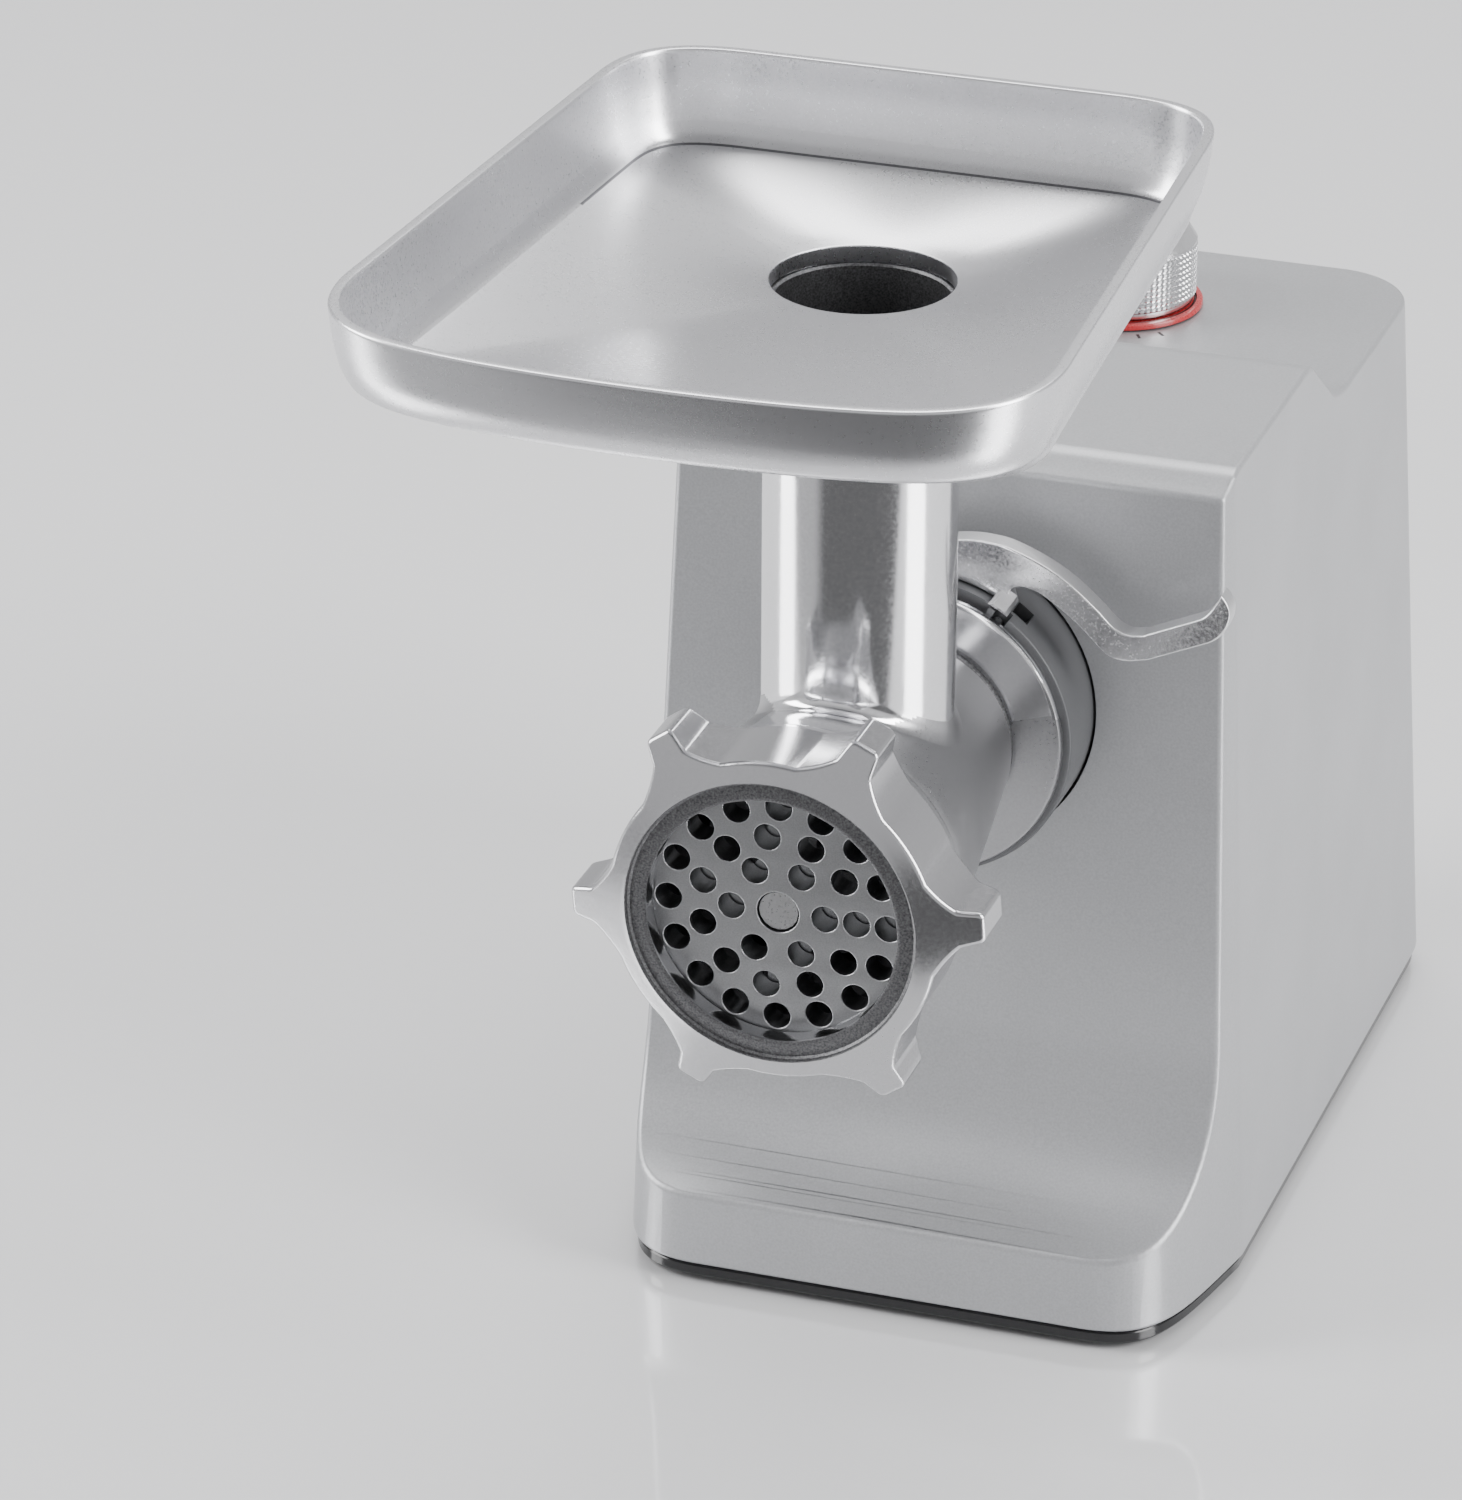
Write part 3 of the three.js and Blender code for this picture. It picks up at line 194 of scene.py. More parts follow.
# ---------- Meshes ----------
def mesh_piece(name, points, faces):
    """A closed mesh from points in millimetres, with its faces turned outwards."""
    mesh = bpy.data.meshes.new(name)
    mesh.from_pydata([Vector(p) * MM for p in points], [], faces)
    build = bmesh.new()
    build.from_mesh(mesh)
    bmesh.ops.recalc_face_normals(build, faces=build.faces)
    build.to_mesh(mesh)
    build.free()
    piece = bpy.data.objects.new(name, mesh)
    bpy.context.scene.collection.objects.link(piece)
    return piece


def skinned(name, rings, looped=False):
    """Skins equal rings of 3-D points. A looped list closes on itself, any other gets two end caps."""
    count = len(rings[0])
    points = [p for ring in rings for p in ring]
    faces = []
    for band in range(len(rings) - (0 if looped else 1)):
        low = band * count
        high = (band + 1) % len(rings) * count
        for i in range(count):
            j = (i + 1) % count
            faces.append((low + i, low + j, high + j, high + i))
    if not looped:
        faces.append(tuple(reversed(range(count))))
        faces.append(tuple(range(len(points) - count, len(points))))
    return mesh_piece(name, points, faces)


def turned(name, profile, place, axis="Y", segments=96):
    """Turns a closed profile of (radius, along) about an axis.

    The axis goes through place, which is (x, z) for the Y axis and (x, y) for the Z axis.
    """
    points, rows = [], []
    for radius, along in profile:
        count = segments if radius > 1e-6 else 1
        rows.append(range(len(points), len(points) + count))
        for i in range(count):
            spot = polar(radius, 360 * i / segments, place)
            points.append((spot.x, along, spot.y) if axis == "Y" else (spot.x, spot.y, along))
    faces = []
    for low, high in zip(rows, rows[1:] + rows[:1]):
        for i in range(segments):
            j = i + 1
            corners = [low[i % len(low)], low[j % len(low)], high[j % len(high)], high[i % len(high)]]
            corners = list(dict.fromkeys(corners))
            if len(corners) > 2:
                faces.append(tuple(corners))
    return mesh_piece(name, points, faces)


def prism(name, outline, low, high, axis="Y"):
    """Pushes an outline from low to high along an axis; it is in (x, z), (y, z) or (x, y)."""
    place = {
        "X": lambda p, along: (along, p.x, p.y),
        "Y": lambda p, along: (p.x, along, p.y),
        "Z": lambda p, along: (p.x, p.y, along),
    }[axis]
    return skinned(name, [[place(p, along) for p in outline] for along in (low, high)])


def settle(piece):
    """Bakes a piece's modifiers into its mesh."""
    graph = bpy.context.evaluated_depsgraph_get()
    mesh = bpy.data.meshes.new_from_object(piece.evaluated_get(graph))
    piece.modifiers.clear()
    piece.data = mesh
    return piece


def combine(piece, operation, *tools):
    """Cuts the tools from a piece, joins them to it or keeps what they share with it."""
    for tool in tools:
        change = piece.modifiers.new(operation, "BOOLEAN")
        change.operation = operation
        change.object = tool
        change.solver = "EXACT"
    settle(piece)
    for tool in tools:
        bpy.data.objects.remove(tool)
    return piece


def bevel(piece, width, segments=3, angle=30):
    change = piece.modifiers.new("bevel", "BEVEL")
    change.width = width * MM
    change.segments = segments
    change.limit_method = "ANGLE"
    change.angle_limit = math.radians(angle)
    change.use_clamp_overlap = False
    return settle(piece)


def plate(name, outlines, low, high, edge, axis="Y", steps=2):
    """A flat piece with rounded edges: the first outline is its rim, the others are holes."""
    drawn = bpy.data.curves.new(name, "CURVE")
    drawn.dimensions = "2D"
    drawn.fill_mode = "BOTH"
    for outline in outlines:
        spline = drawn.splines.new("POLY")
        spline.points.add(len(outline) - 1)
        spline.use_cyclic_u = True
        for spot, p in zip(spline.points, outline):
            spot.co = (p.x * MM, p.y * MM, 0, 1)
    drawn.extrude = ((high - low) / 2 - edge) * MM
    drawn.bevel_depth = edge * MM
    drawn.bevel_resolution = steps
    drawn.offset = -edge * MM
    shape = bpy.data.objects.new(name + "_curve", drawn)
    bpy.context.scene.collection.objects.link(shape)
    bpy.context.view_layer.update()
    mesh = bpy.data.meshes.new_from_object(shape.evaluated_get(bpy.context.evaluated_depsgraph_get()))
    bpy.data.objects.remove(shape)
    middle = (low + high) / 2 * MM
    if axis == "Y":
        mesh.transform(Matrix(((1, 0, 0, 0), (0, 0, -1, middle), (0, 1, 0, 0), (0, 0, 0, 1))))
    else:
        mesh.transform(Matrix.Translation((0, 0, middle)))
    build = bmesh.new()
    build.from_mesh(mesh)
    bmesh.ops.remove_doubles(build, verts=build.verts, dist=1e-6)
    bmesh.ops.recalc_face_normals(build, faces=build.faces)
    build.to_mesh(mesh)
    build.free()
    piece = bpy.data.objects.new(name, mesh)
    bpy.context.scene.collection.objects.link(piece)
    return piece


def dress(piece, body, finish, replaced=(), smooth=38):
    """Gives a finished piece its material, smooth shading, body and the CAD nodes it stands for."""
    if not piece.data.materials:
        piece.data.materials.append(finish)
    piece.data.shade_smooth()
    piece.data.set_sharp_from_angle(angle=math.radians(smooth))
    weighted = piece.modifiers.new("weighted_normals", "WEIGHTED_NORMAL")
    weighted.keep_sharp = True
    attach(piece, body)
    if replaced:
        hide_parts(*replaced)
    return piece


def paint_faces(piece, finishes, choose):
    """Gives a piece several materials: choose says which one a face takes from its centre and normal."""
    piece.data.materials.clear()
    for finish in finishes:
        piece.data.materials.append(finish)
    for face in piece.data.polygons:
        face.material_index = choose(face.center / MM, face.normal)


# ---------- Materials ----------
def link(tree, source, target):
    tree.links.new(source, target)


def noise(tree, size, detail=2.0, stretch=(1, 1, 1)):
    """Noise with features of about this size in millimetres, times the stretch along each axis."""
    place = tree.nodes.new("ShaderNodeTexCoord")
    scale = tree.nodes.new("ShaderNodeMapping")
    scale.inputs["Scale"].default_value = [1 / (size * MM * s) for s in stretch]
    found = tree.nodes.new("ShaderNodeTexNoise")
    found.inputs["Scale"].default_value = 1
    found.inputs["Detail"].default_value = detail
    link(tree, place.outputs["Object"], scale.inputs["Vector"])
    link(tree, scale.outputs["Vector"], found.inputs["Vector"])
    return found.outputs["Fac"]


def spread(tree, value, low, high, from_low=0.3, from_high=0.7):
    """Maps a noise value onto a range."""
    found = tree.nodes.new("ShaderNodeMapRange")
    for key, number in (("From Min", from_low), ("From Max", from_high), ("To Min", low), ("To Max", high)):
        found.inputs[key].default_value = number
    link(tree, value, found.inputs["Value"])
    return found.outputs["Result"]


def blended(tree, factor, first, second):
    """Mixes two colours by a factor."""
    mix = tree.nodes.new("ShaderNodeMix")
    mix.data_type = "RGBA"
    mix.inputs["A"].default_value = (*first, 1)
    mix.inputs["B"].default_value = (*second, 1)
    link(tree, factor, mix.inputs["Factor"])
    return mix.outputs["Result"]


def finish(name, colour, metallic, roughness, grain=0.06, grain_size=0.5, gloss_spread=0.04, cloud=0.05,
           relief=0.0, coat=0.0, stretch=(1, 1, 1), specular=0.5):
    """A surface with fine grain in its colour and relief, and slow variation in its gloss."""
    made = bpy.data.materials.new(name)
    made.use_nodes = True
    tree = made.node_tree
    shader = tree.nodes["Principled BSDF"]
    shader.inputs["Metallic"].default_value = metallic
    shader.inputs["Coat Weight"].default_value = coat
    shader.inputs["Coat Roughness"].default_value = 0.12
    shader.inputs["Specular IOR Level"].default_value = specular
    fine = noise(tree, grain_size, 3.0, stretch)
    slow = noise(tree, 35)
    dark = [c * (1 - grain) for c in colour]
    light = [min(1, c * (1 + grain)) for c in colour]
    tone = blended(tree, spread(tree, fine, 0, 1), dark, light)
    shade = tree.nodes.new("ShaderNodeMix")
    shade.data_type = "RGBA"
    shade.blend_type = "MULTIPLY"
    shade.inputs["B"].default_value = (1 - cloud, 1 - cloud, 1 - cloud, 1)
    link(tree, tone, shade.inputs["A"])
    link(tree, spread(tree, slow, 0, 1), shade.inputs["Factor"])
    link(tree, shade.outputs["Result"], shader.inputs["Base Color"])
    gloss = tree.nodes.new("ShaderNodeMath")
    gloss.operation = "ADD"
    link(tree, spread(tree, fine, roughness - gloss_spread, roughness + gloss_spread), gloss.inputs[0])
    link(tree, spread(tree, slow, -gloss_spread / 2, gloss_spread / 2), gloss.inputs[1])
    link(tree, gloss.outputs["Value"], shader.inputs["Roughness"])
    if relief:
        bump = tree.nodes.new("ShaderNodeBump")
        bump.inputs["Strength"].default_value = 1
        bump.inputs["Distance"].default_value = relief * MM
        link(tree, fine, bump.inputs["Height"])
        link(tree, bump.outputs["Normal"], shader.inputs["Normal"])
    return made


SILVER_PAINT = finish("silver_paint", (0.40, 0.404, 0.416), 0.55, 0.40, grain=0.08, grain_size=0.55,
                      relief=0.002)
SOCKET_PAINT = finish("socket_paint", (0.115, 0.117, 0.122), 0.45, 0.42, grain=0.06, relief=0.002)
POLISHED_CAST = finish("polished_cast", (0.82, 0.82, 0.835), 1.0, 0.14, grain=0.03, grain_size=0.8,
                       relief=0.0015)
# Painted shade: a darker copy of the polished casting, laid on the head's lower part.
CAST_PAINTED_SHADE_BELOW = finish("cast_painted_shade_below", (0.36, 0.36, 0.37), 1.0, 0.32, grain=0.06, grain_size=0.6, relief=0.003)
LEVER_FACE = finish("lever_face", (0.70, 0.70, 0.71), 1.0, 0.20, grain=0.10, grain_size=0.6,
                    gloss_spread=0.08, relief=0.012)
LEVER_EDGE = finish("lever_edge", (0.66, 0.66, 0.67), 1.0, 0.36, grain=0.03, relief=0.002)
SATIN_CAST = finish("satin_cast", (0.66, 0.66, 0.67), 1.0, 0.30, grain=0.05, grain_size=0.6, relief=0.002)
TRAY_METAL = finish("tray_metal", (0.74, 0.74, 0.76), 1.0, 0.28, grain=0.01, grain_size=0.8,
                    gloss_spread=0.01)
# Painted reflection: a dark strip laid where the tray's inside wall meets its floor at the back.
TRAY_PAINTED_REFLECTION = finish("tray_painted_reflection", (0.16, 0.16, 0.17), 1.0, 0.35, grain=0.02, grain_size=0.7)
TRAY_WALL = finish("tray_wall", (0.78, 0.78, 0.80), 1.0, 0.30, grain=0.05, grain_size=0.7, relief=0.012)
NUT_METAL = finish("nut_metal", (0.52, 0.52, 0.532), 1.0, 0.22, grain=0.03, grain_size=0.6, relief=0.002)
# Painted shade: a dark copy of the cast finish, laid in the head's hollows and groove and in the nut's
# recess.
PAINTED_SHADE_CAST = finish("painted_shade_cast", (0.16, 0.16, 0.165), 0.9, 0.45, grain=0.45, grain_size=0.45, relief=0.02)
STEEL = finish("steel", (0.55, 0.555, 0.56), 1.0, 0.30, grain=0.05, grain_size=0.5, relief=0.002)
DISC_STEEL = finish("disc_steel", (0.46, 0.465, 0.475), 1.0, 0.34, grain=0.12, grain_size=0.35, relief=0.006)
KNOB_METAL = finish("knob_metal", (0.80, 0.80, 0.81), 1.0, 0.22, grain=0.03, relief=0.001)
BLACK = finish("black_plastic", (0.012, 0.012, 0.013), 0.0, 0.32, grain=0.1, grain_size=0.6, relief=0.006)
GLOSS_BLACK = finish("gloss_black", (0.006, 0.006, 0.007), 0.0, 0.16, grain=0.05, relief=0.001)
RUBBER = finish("rubber", (0.014, 0.014, 0.014), 0.0, 0.8, grain=0.1, grain_size=0.4, relief=0.02)
RED = finish("red_plastic", (0.42, 0.022, 0.025), 0.0, 0.28, grain=0.03, coat=0.3)
# Painted shade: a dark copy of the red plastic for the knob ring's groove and the part under the knob.
RED_PAINTED_SHADE = finish("red_painted_shade", (0.05, 0.008, 0.008), 0.0, 0.4)
NYLON = finish("nylon", (0.72, 0.70, 0.64), 0.0, 0.45, grain=0.03, relief=0.006)
COPPER = finish("copper", (0.55, 0.22, 0.08), 1.0, 0.30, grain=0.25, grain_size=0.5, relief=0.05,
                stretch=(1, 20, 1))
LAMINATION = finish("lamination", (0.16, 0.165, 0.17), 0.9, 0.42, grain=0.3, grain_size=0.4, relief=0.03,
                    stretch=(30, 1, 30))
CARBON = finish("carbon", (0.03, 0.03, 0.031), 0.1, 0.6, grain=0.3, grain_size=0.3, relief=0.01)
BRASS = finish("brass", (0.62, 0.46, 0.18), 1.0, 0.28, grain=0.05, relief=0.004)
BOARD = finish("board", (0.02, 0.11, 0.045), 0.0, 0.35, grain=0.4, grain_size=1.6, coat=0.4, relief=0.01)
INK = finish("ink", (0.02, 0.02, 0.022), 0.0, 0.5)
FLOOR = finish("floor_paint", (0.90, 0.90, 0.91), 0.3, 0.06, grain=0.005, grain_size=4, gloss_spread=0.005,
               cloud=0.005, specular=1.0)


# ---------- Housing ----------
def panel_y(z):
    """The front panel leans: its place at a height."""
    return PANEL_AT_AXIS + PANEL_LEAN * (z - AXIS_Z)


def side_outline():
    """Side outline in (y, z): rear, deck, step, hood, panel, scoop and foot, past the plan outline's ends."""
    beyond = 20
    points = [Vector((REAR_Y + beyond, BOTTOM_Z)), Vector((REAR_Y + beyond, DECK_Z)), Vector((116, DECK_Z))]
    points += curve([points[-1], (104.5, DECK_Z + 0.2), (99.6, 189.3)], 10)
    points += curve([(87, 198.6), (82.6, 202), (80.8, 203.2), (77, 203.1)], 8)
    points.append(Vector((17.5, 202.7)))
    points += curve([points[-1], (14.8, 202.5), (13, 201.3)], 6)
    points += [Vector((10.4, 199.75)), Vector((8.6, 198.75))]
    points += curve([points[-1], (panel_y(198.4), 198.3), (panel_y(197), 197)], 5)
    points.append(Vector((panel_y(64), 64)))
    points += curve([points[-1], (0.5, 33), (FRONT_Y, 23.3)], 60)
    slope = (points[-1] - points[-2]).normalized()
    points.append(points[-1] + slope * beyond)
    points.append(Vector((points[-1].x, BOTTOM_Z)))
    return points


def plan_outline(half_width, rear):
    """Plan outline at a half width: broad front corners, rounder rear corners."""
    slim = half_width / HOUSING["half_width_bottom"]
    corner = HOUSING["rear_corner"]
    right = [Vector((46 * slim, FRONT_Y))]
    right += curve([right[0], (66 * slim, FRONT_Y), (67.5 * slim, -18), (half_width, 14)], 22)
    right += arc(corner, 0, 90, 14, (half_width - corner, rear - corner))
    return right + [Vector((-p.x, p.y)) for p in reversed(right)]


def drafted_block(name, low, high):
    """The block between the plan outlines, stretched to two heights."""
    bottom = plan_outline(HOUSING["half_width_bottom"], REAR_Y)
    top = plan_outline(HOUSING["half_width_top"], HOUSING["rear_top"])
    span = HOUSING["draft_top"] - BOTTOM_Z
    rings = []
    for z in (low, high):
        share = (z - BOTTOM_Z) / span
        ring = [a.lerp(b, share) for a, b in zip(bottom, top)]
        rings.append([(p.x, p.y, z) for p in ring])
    return skinned(name, rings)


def stadium(half_width, height, centre_z, steps=8):
    r = height / 2
    right = arc(r, -90, 90, steps, (half_width - r, centre_z))
    return right + [Vector((-p.x, p.y)) for p in reversed(right)]


def make_housing():
    """The housing's outside as a solid block, with openings cut as pockets. Only the CAD node is hollow."""
    shell = drafted_block("housing_shell", BOTTOM_Z - 4, HOUSING["draft_top"])
    combine(shell, "INTERSECT", prism("side", side_outline(), -90, 90, "X"))
    bevel(shell, HOUSING["edge"], 4, 28)
    socket_hole = [(0, -12), (SOCKET["hole"], -12), (SOCKET["hole"], 20), (0, 20)]
    cutters = [turned("socket_hole", socket_hole, (0, AXIS_Z), segments=128)]
    cutters.append(turned("knob_hole", [(0, 175), (6, 175), (6, 192), (0, 192)], (0, KNOB_Y), "Z", 48))
    gland_hole = [(0, 180), (6.4, 180), (6.4, 198.2), (10.4, 198.2), (10.4, 212), (0, 212)]
    cutters.append(turned("gland_hole", gland_hole, node_centre("cord_gland").xz, segments=48))
    for i in range(VENTS["count"]):
        z = VENTS["low"] + i * VENTS["pitch"] + VENTS["height"] / 2
        cutters.append(prism(f"vent_{i}", stadium(VENTS["half_width"], VENTS["height"], z), 178, 212))
    combine(shell, "DIFFERENCE", *cutters)
    return dress(shell, "base", SILVER_PAINT, ["housing"], 30)


make_housing()


# ---------- Base ----------
FEET = ("foot_front_left", "foot_front_right", "foot_rear_left", "foot_rear_right")


def make_base():
    plan = plan_outline(HOUSING["half_width_bottom"], REAR_Y)
    low, high = PLATE_LOW.z, PLATE_HIGH.z
    inside = inset(plan, HOUSING["wall"] + 0.5)
    for p in inside:
        p.y = min(p.y, REAR_Y - HOUSING["wall"] - 1.6)
    rings = [inset(plan, d) for d in (2.2, 1.4, 1, 1, 1.4)] + [inside, inside, inset(inside, 0.6)]
    heights = [low, low + 0.2, low + 0.8, BOTTOM_Z - 0.8, BOTTOM_Z - 0.35, BOTTOM_Z - 0.35, high - 0.6, high]
    tray = skinned("base_tray", [[(p.x, p.y, z) for p in ring] for ring, z in zip(rings, heights)])
    cutters = []
    for i in range(4):
        slot = stadium(26, 4, 92 + i * 12)
        cutters.append(prism(f"base_slot_{i}", slot, low - 2, high + 2, "Z"))
    screw_seat = [(0, low - 1), (4.4, low - 1), (4, 6), (1.8, 6), (1.8, high + 1), (0, high + 1)]
    for i in range(1, 5):
        screw = f"base_screw_{i}"
        cutters.append(turned(screw + "_seat", screw_seat, node_centre(screw).xy, "Z", 32))
    foot_seat = [(0, 0), (9.6, 0), (9.6, 2.8), (0, 2.8)]
    for foot in FEET:
        cutters.append(turned(foot + "_seat", foot_seat, node_centre(foot).xy, "Z", 48))
    combine(tray, "DIFFERENCE", *cutters)
    dress(tray, "base", GLOSS_BLACK, ["base_plate"], 30)
    pad = [(0, 0.5), (3, 0.5), (3.3, 0.1), (5.2, 0.1), (5.5, 0.5), (6, 0.5), (6.3, 0), (7.9, 0), (8.5, 0.3),
           (8.9, 1), (9, 2.5), (0, 2.5)]
    for foot in FEET:
        dress(turned(foot + "_pad", pad, node_centre(foot).xy, "Z", 48), "base", RUBBER, [foot])


make_base()


# ---------- Docking socket and lever ----------
# The socket's notches as (name, start and end angle, start and end behind the drum's front).
NOTCHES = (
    ("pin_notch", 54.5, 60.5, -2, 3.4),
    ("key_notch", 63, 86, -2, 1.6),
    ("catch_window", 48.5, 55.5, 4.4, 10),
)


def make_socket():
    front, outer, bore = SOCKET_FRONT, SOCKET["radius"], SOCKET["bore"]
    profile = [(bore, front + 0.5), (bore + 0.5, front), (outer - 1, front), (outer - 0.3, front + 0.25),
               (outer, front + 0.9), (outer, 15), (SOCKET["flange"], 15), (SOCKET["flange"], 19), (10.5, 19),
               (10.5, 15.3), (16, 15.3), (16, 9), (bore, 9)]
    drum = turned("socket_drum", profile, (0, AXIS_Z), segments=160)
    cutters = []
    for name, start, end, low, high in NOTCHES:
        rim = arc(outer + 4, start, end, 10, (0, AXIS_Z))
        root = arc(bore - 2, end, start, 10, (0, AXIS_Z))
        cutters.append(prism(name, rim + root, front + low, front + high))
    combine(drum, "DIFFERENCE", *cutters)
    dress(drum, "base", SOCKET_PAINT, ["dock_socket"])


def lever_outline():
    """Part of a ring round the drum, then the arm that swings down and up again to its upturned end."""
    inner, outer = LEVER["inner"], LEVER["outer"]
    points = arc(inner, 56, 140, 50)
    points += arc(outer, 140, 112, 14)
    points += curve([points[-1], (-7.4, 41.2), (4, 45.8), (12.8, 45.7)], 14)
    upper = [(18.8, 45), (27, 41.9), (33.8, 37.9), (39.8, 32.9), (43.6, 29.3), (46.8, 27.8), (50.6, 28.2)]
    points += smooth_path([points[-1], *(Vector(v) for v in upper)], 6)[1:]
    points.append(Vector((63.6, 34.1)))
    points += curve([points[-1], (65.8, 35.3), (68.2, 40.4)], 8)
    points += curve([points[-1], (71.3, 37.2), (69.9, 33.4)], 8)
    points += curve([points[-1], (68.9, 30.4), (65.8, 28.5)], 6)
    points.append(Vector((51.9, 22.3)))
    lower = [(46.4, 21.3), (42.3, 22.3), (38.5, 25.7), (33.9, 29.9), (26.9, 34.6), (23.2, 35.7)]
    points += smooth_path([points[-1], *(Vector(v) for v in lower)], 6)[1:]
    points += curve([points[-1], (18.6, 36), (19.6, 32.6)], 6)
    return [Vector((p.x, p.y + AXIS_Z)) for p in points]


def make_lever():
    """The flat lever, with a claw at the end of its ring that hooks over the head's pin."""
    back = LEVER_HIGH.y
    front = back - LEVER["depth"]
    lever = plate("lever_arm", [lever_outline()], front, back, LEVER["edge"], steps=3)
    rim = arc(LEVER["inner"], 56, 64, 6, (0, AXIS_Z))
    sections = []
    for y, rise in ((LEVER_LOW.y, 0.5), (LEVER_LOW.y + 1.4, 1.1), (front - 0.8, 2), (front + 1, 3)):
        crest = [polar(LEVER["inner"] + rise, angle, (0, AXIS_Z)) for angle in (62.5, 61, 59.5, 57.5)]
        sections.append([(p.x, y, p.y) for p in rim + crest])
    combine(lever, "UNION", skinned("lever_claw", sections))

    def zone(centre, normal):
        """0 on what faces forwards, 1 on the edges and the back."""
        return 0 if normal.y < -0.6 else 1

    paint_faces(lever, [LEVER_FACE, LEVER_EDGE], zone)
    dress(lever, "lever", LEVER_FACE, ["lock_lever"])


make_socket()
make_lever()


# ---------- Feed head ----------
TAPER = [(34, -86.4), (24.4, -20)]  # the barrel's cone: (radius, y) at its two ends


def barrel_radius(y):
    (r0, y0), (r1, y1) = TAPER
    return r0 + (r1 - r0) * (y - y0) / (y1 - y0)


def make_barrel():
    """The turned part of the head: neck in the nut, shoulder, cone, groove, flange and spigot."""
    front, rear = HEAD_LOW.y, HEAD_HIGH.y
    profile = [(0, front), (32.7, front), (33.2, front + 0.6), (33.2, -95.7), (35.6, -95.7), (36, -95.3)]
    profile += [(36, -93.8), (35.8, -93), (34.8, -91.2), (34, -90.4), *TAPER, (24.2, -19.3), (23.7, -19)]
    profile += [(22.9, -18.8), (22.9, -16.6), (23.6, -16.0), (33.3, -15.2), (34, -14.9), (34.3, -14.3)]
    profile += [(34.3, -12.9), (34.1, -12.7), (29, -12.7), (29, rear), (0, rear)]
    return turned("head_casting", profile, (0, AXIS_Z), segments=160)


def make_tube():
    """The feed tube down into the barrel, with a fillet that follows the cone all round it."""
    outer, top = TUBE["outer"], HEAD_HIGH.z
    climb, reach, segments = 4, 3, 120

    def at(radius, angle, z):
        spot = polar(radius, angle, (0, TUBE_Y))
        return Vector((spot.x, spot.y, z))

    def saddle(radius, angle):
        """Height at which a line down beside the tube's axis meets the cone."""
        spot = polar(radius, angle)
        across = barrel_radius(TUBE_Y + spot.y)
        return AXIS_Z + math.sqrt(max(across**2 - spot.x**2, 1))

    columns = []
    far = outer + reach
    for i in range(segments):
        angle = 360 * i / segments
        level = saddle(outer, angle)
        rim = [at(outer - 0.8, angle, top), at(outer - 0.2, angle, top - 0.2), at(outer, angle, top - 0.8)]
        start, corner = at(outer, angle, level + climb), at(outer, angle, level)
        fillet = curve([start, corner, at(far, angle, saddle(far, angle) - 0.15)], 12)
        columns.append([*rim, start, *fillet, at(far, angle, AXIS_Z + 4)])
    return skinned("tube", list(zip(*columns)))


def make_head():
    head = combine(make_barrel(), "UNION", make_tube())
    mouth, top, inner = HEAD_LOW.y - 5, HEAD_HIGH.z, TUBE["inner"]
    worm = [(0, mouth), (31.3, mouth), (31.3, -97), (28.1, -97), (19.8, -20.5), (0, -20.5)]
    flare, above = inner + 0.6, 280
    throat = [(0, AXIS_Z), (inner, AXIS_Z), (inner, top - 0.5)]
    throat += [(flare, top + 0.1), (flare, above), (0, above)]
    combine(
        head,
        "DIFFERENCE",
        turned("worm_hollow", worm, (0, AXIS_Z)),
        turned("shaft_hole", [(0, -30), (10.5, -30), (10.5, 10), (0, 10)], (0, AXIS_Z)),
        turned("spigot_hollow", [(0, -11.4), (25, -11.4), (25, 10), (0, 10)], (0, AXIS_Z)),
        turned("throat", throat, (0, TUBE_Y), "Z"),
    )

    def zone(centre, normal):
        """0 on the casting's upper part, 1 lower down on it, where a darker copy of its finish is painted
        shade, 2 in its hollows and its groove, which are painted dark as shade.
        """
        beside_tube = math.hypot(centre.x, centre.y - TUBE_Y)
        beside_axis = math.hypot(centre.x, centre.z - AXIS_Z)
        in_throat = beside_tube < inner + 0.5 and centre.z > AXIS_Z
        in_barrel = -108 < centre.y < -12 and beside_axis < 23
        in_groove = -19.1 < centre.y < -16.2 and beside_axis < 23.8
        if in_throat or in_barrel or in_groove:
            return 2
        on_flange = centre.y > -17
        return 0 if centre.z > AXIS_Z + (8 if on_flange else 30) else 1

    # The head's lower part and its hollows take painted shade.
    paint_faces(head, [POLISHED_CAST, CAST_PAINTED_SHADE_BELOW, PAINTED_SHADE_CAST], zone)
    dress(head, "head", POLISHED_CAST, ["feed_head"])


make_head()


# ---------- Ring nut ----------
def nut_outline():
    """Outline with evenly spread lugs whose flanks run into the ring in wide hollow curves."""
    ring, tip = NUT["ring"], NUT["tip"]
    spread_angle = 17
    pitch = 360 / NUT["lugs"]
    upper = [polar(ring, spread_angle)]
    upper += curve([upper[0], (38.4, 6.4), (41.4, 4.2)], 10)
    upper += curve([upper[-1], (tip - 1.2, 3.5)], 4)
    upper += curve([upper[-1], (tip - 0.1, 3.2), (tip, 2.1)], 4)
    lower = [Vector((p.x, -p.y)) for p in upper]
    middle = [Vector((tip, y)) for y in (-0.8, 0.8)]
    bow = arc(ring, spread_angle, pitch - spread_angle, 9)[1:-1]
    shape = lower + middle + list(reversed(upper)) + bow
    points = []
    for lug in range(NUT["lugs"]):
        turn = Matrix.Rotation(math.radians(NUT["turn"] + lug * pitch), 2)
        points += [turn @ p for p in shape]
    return points


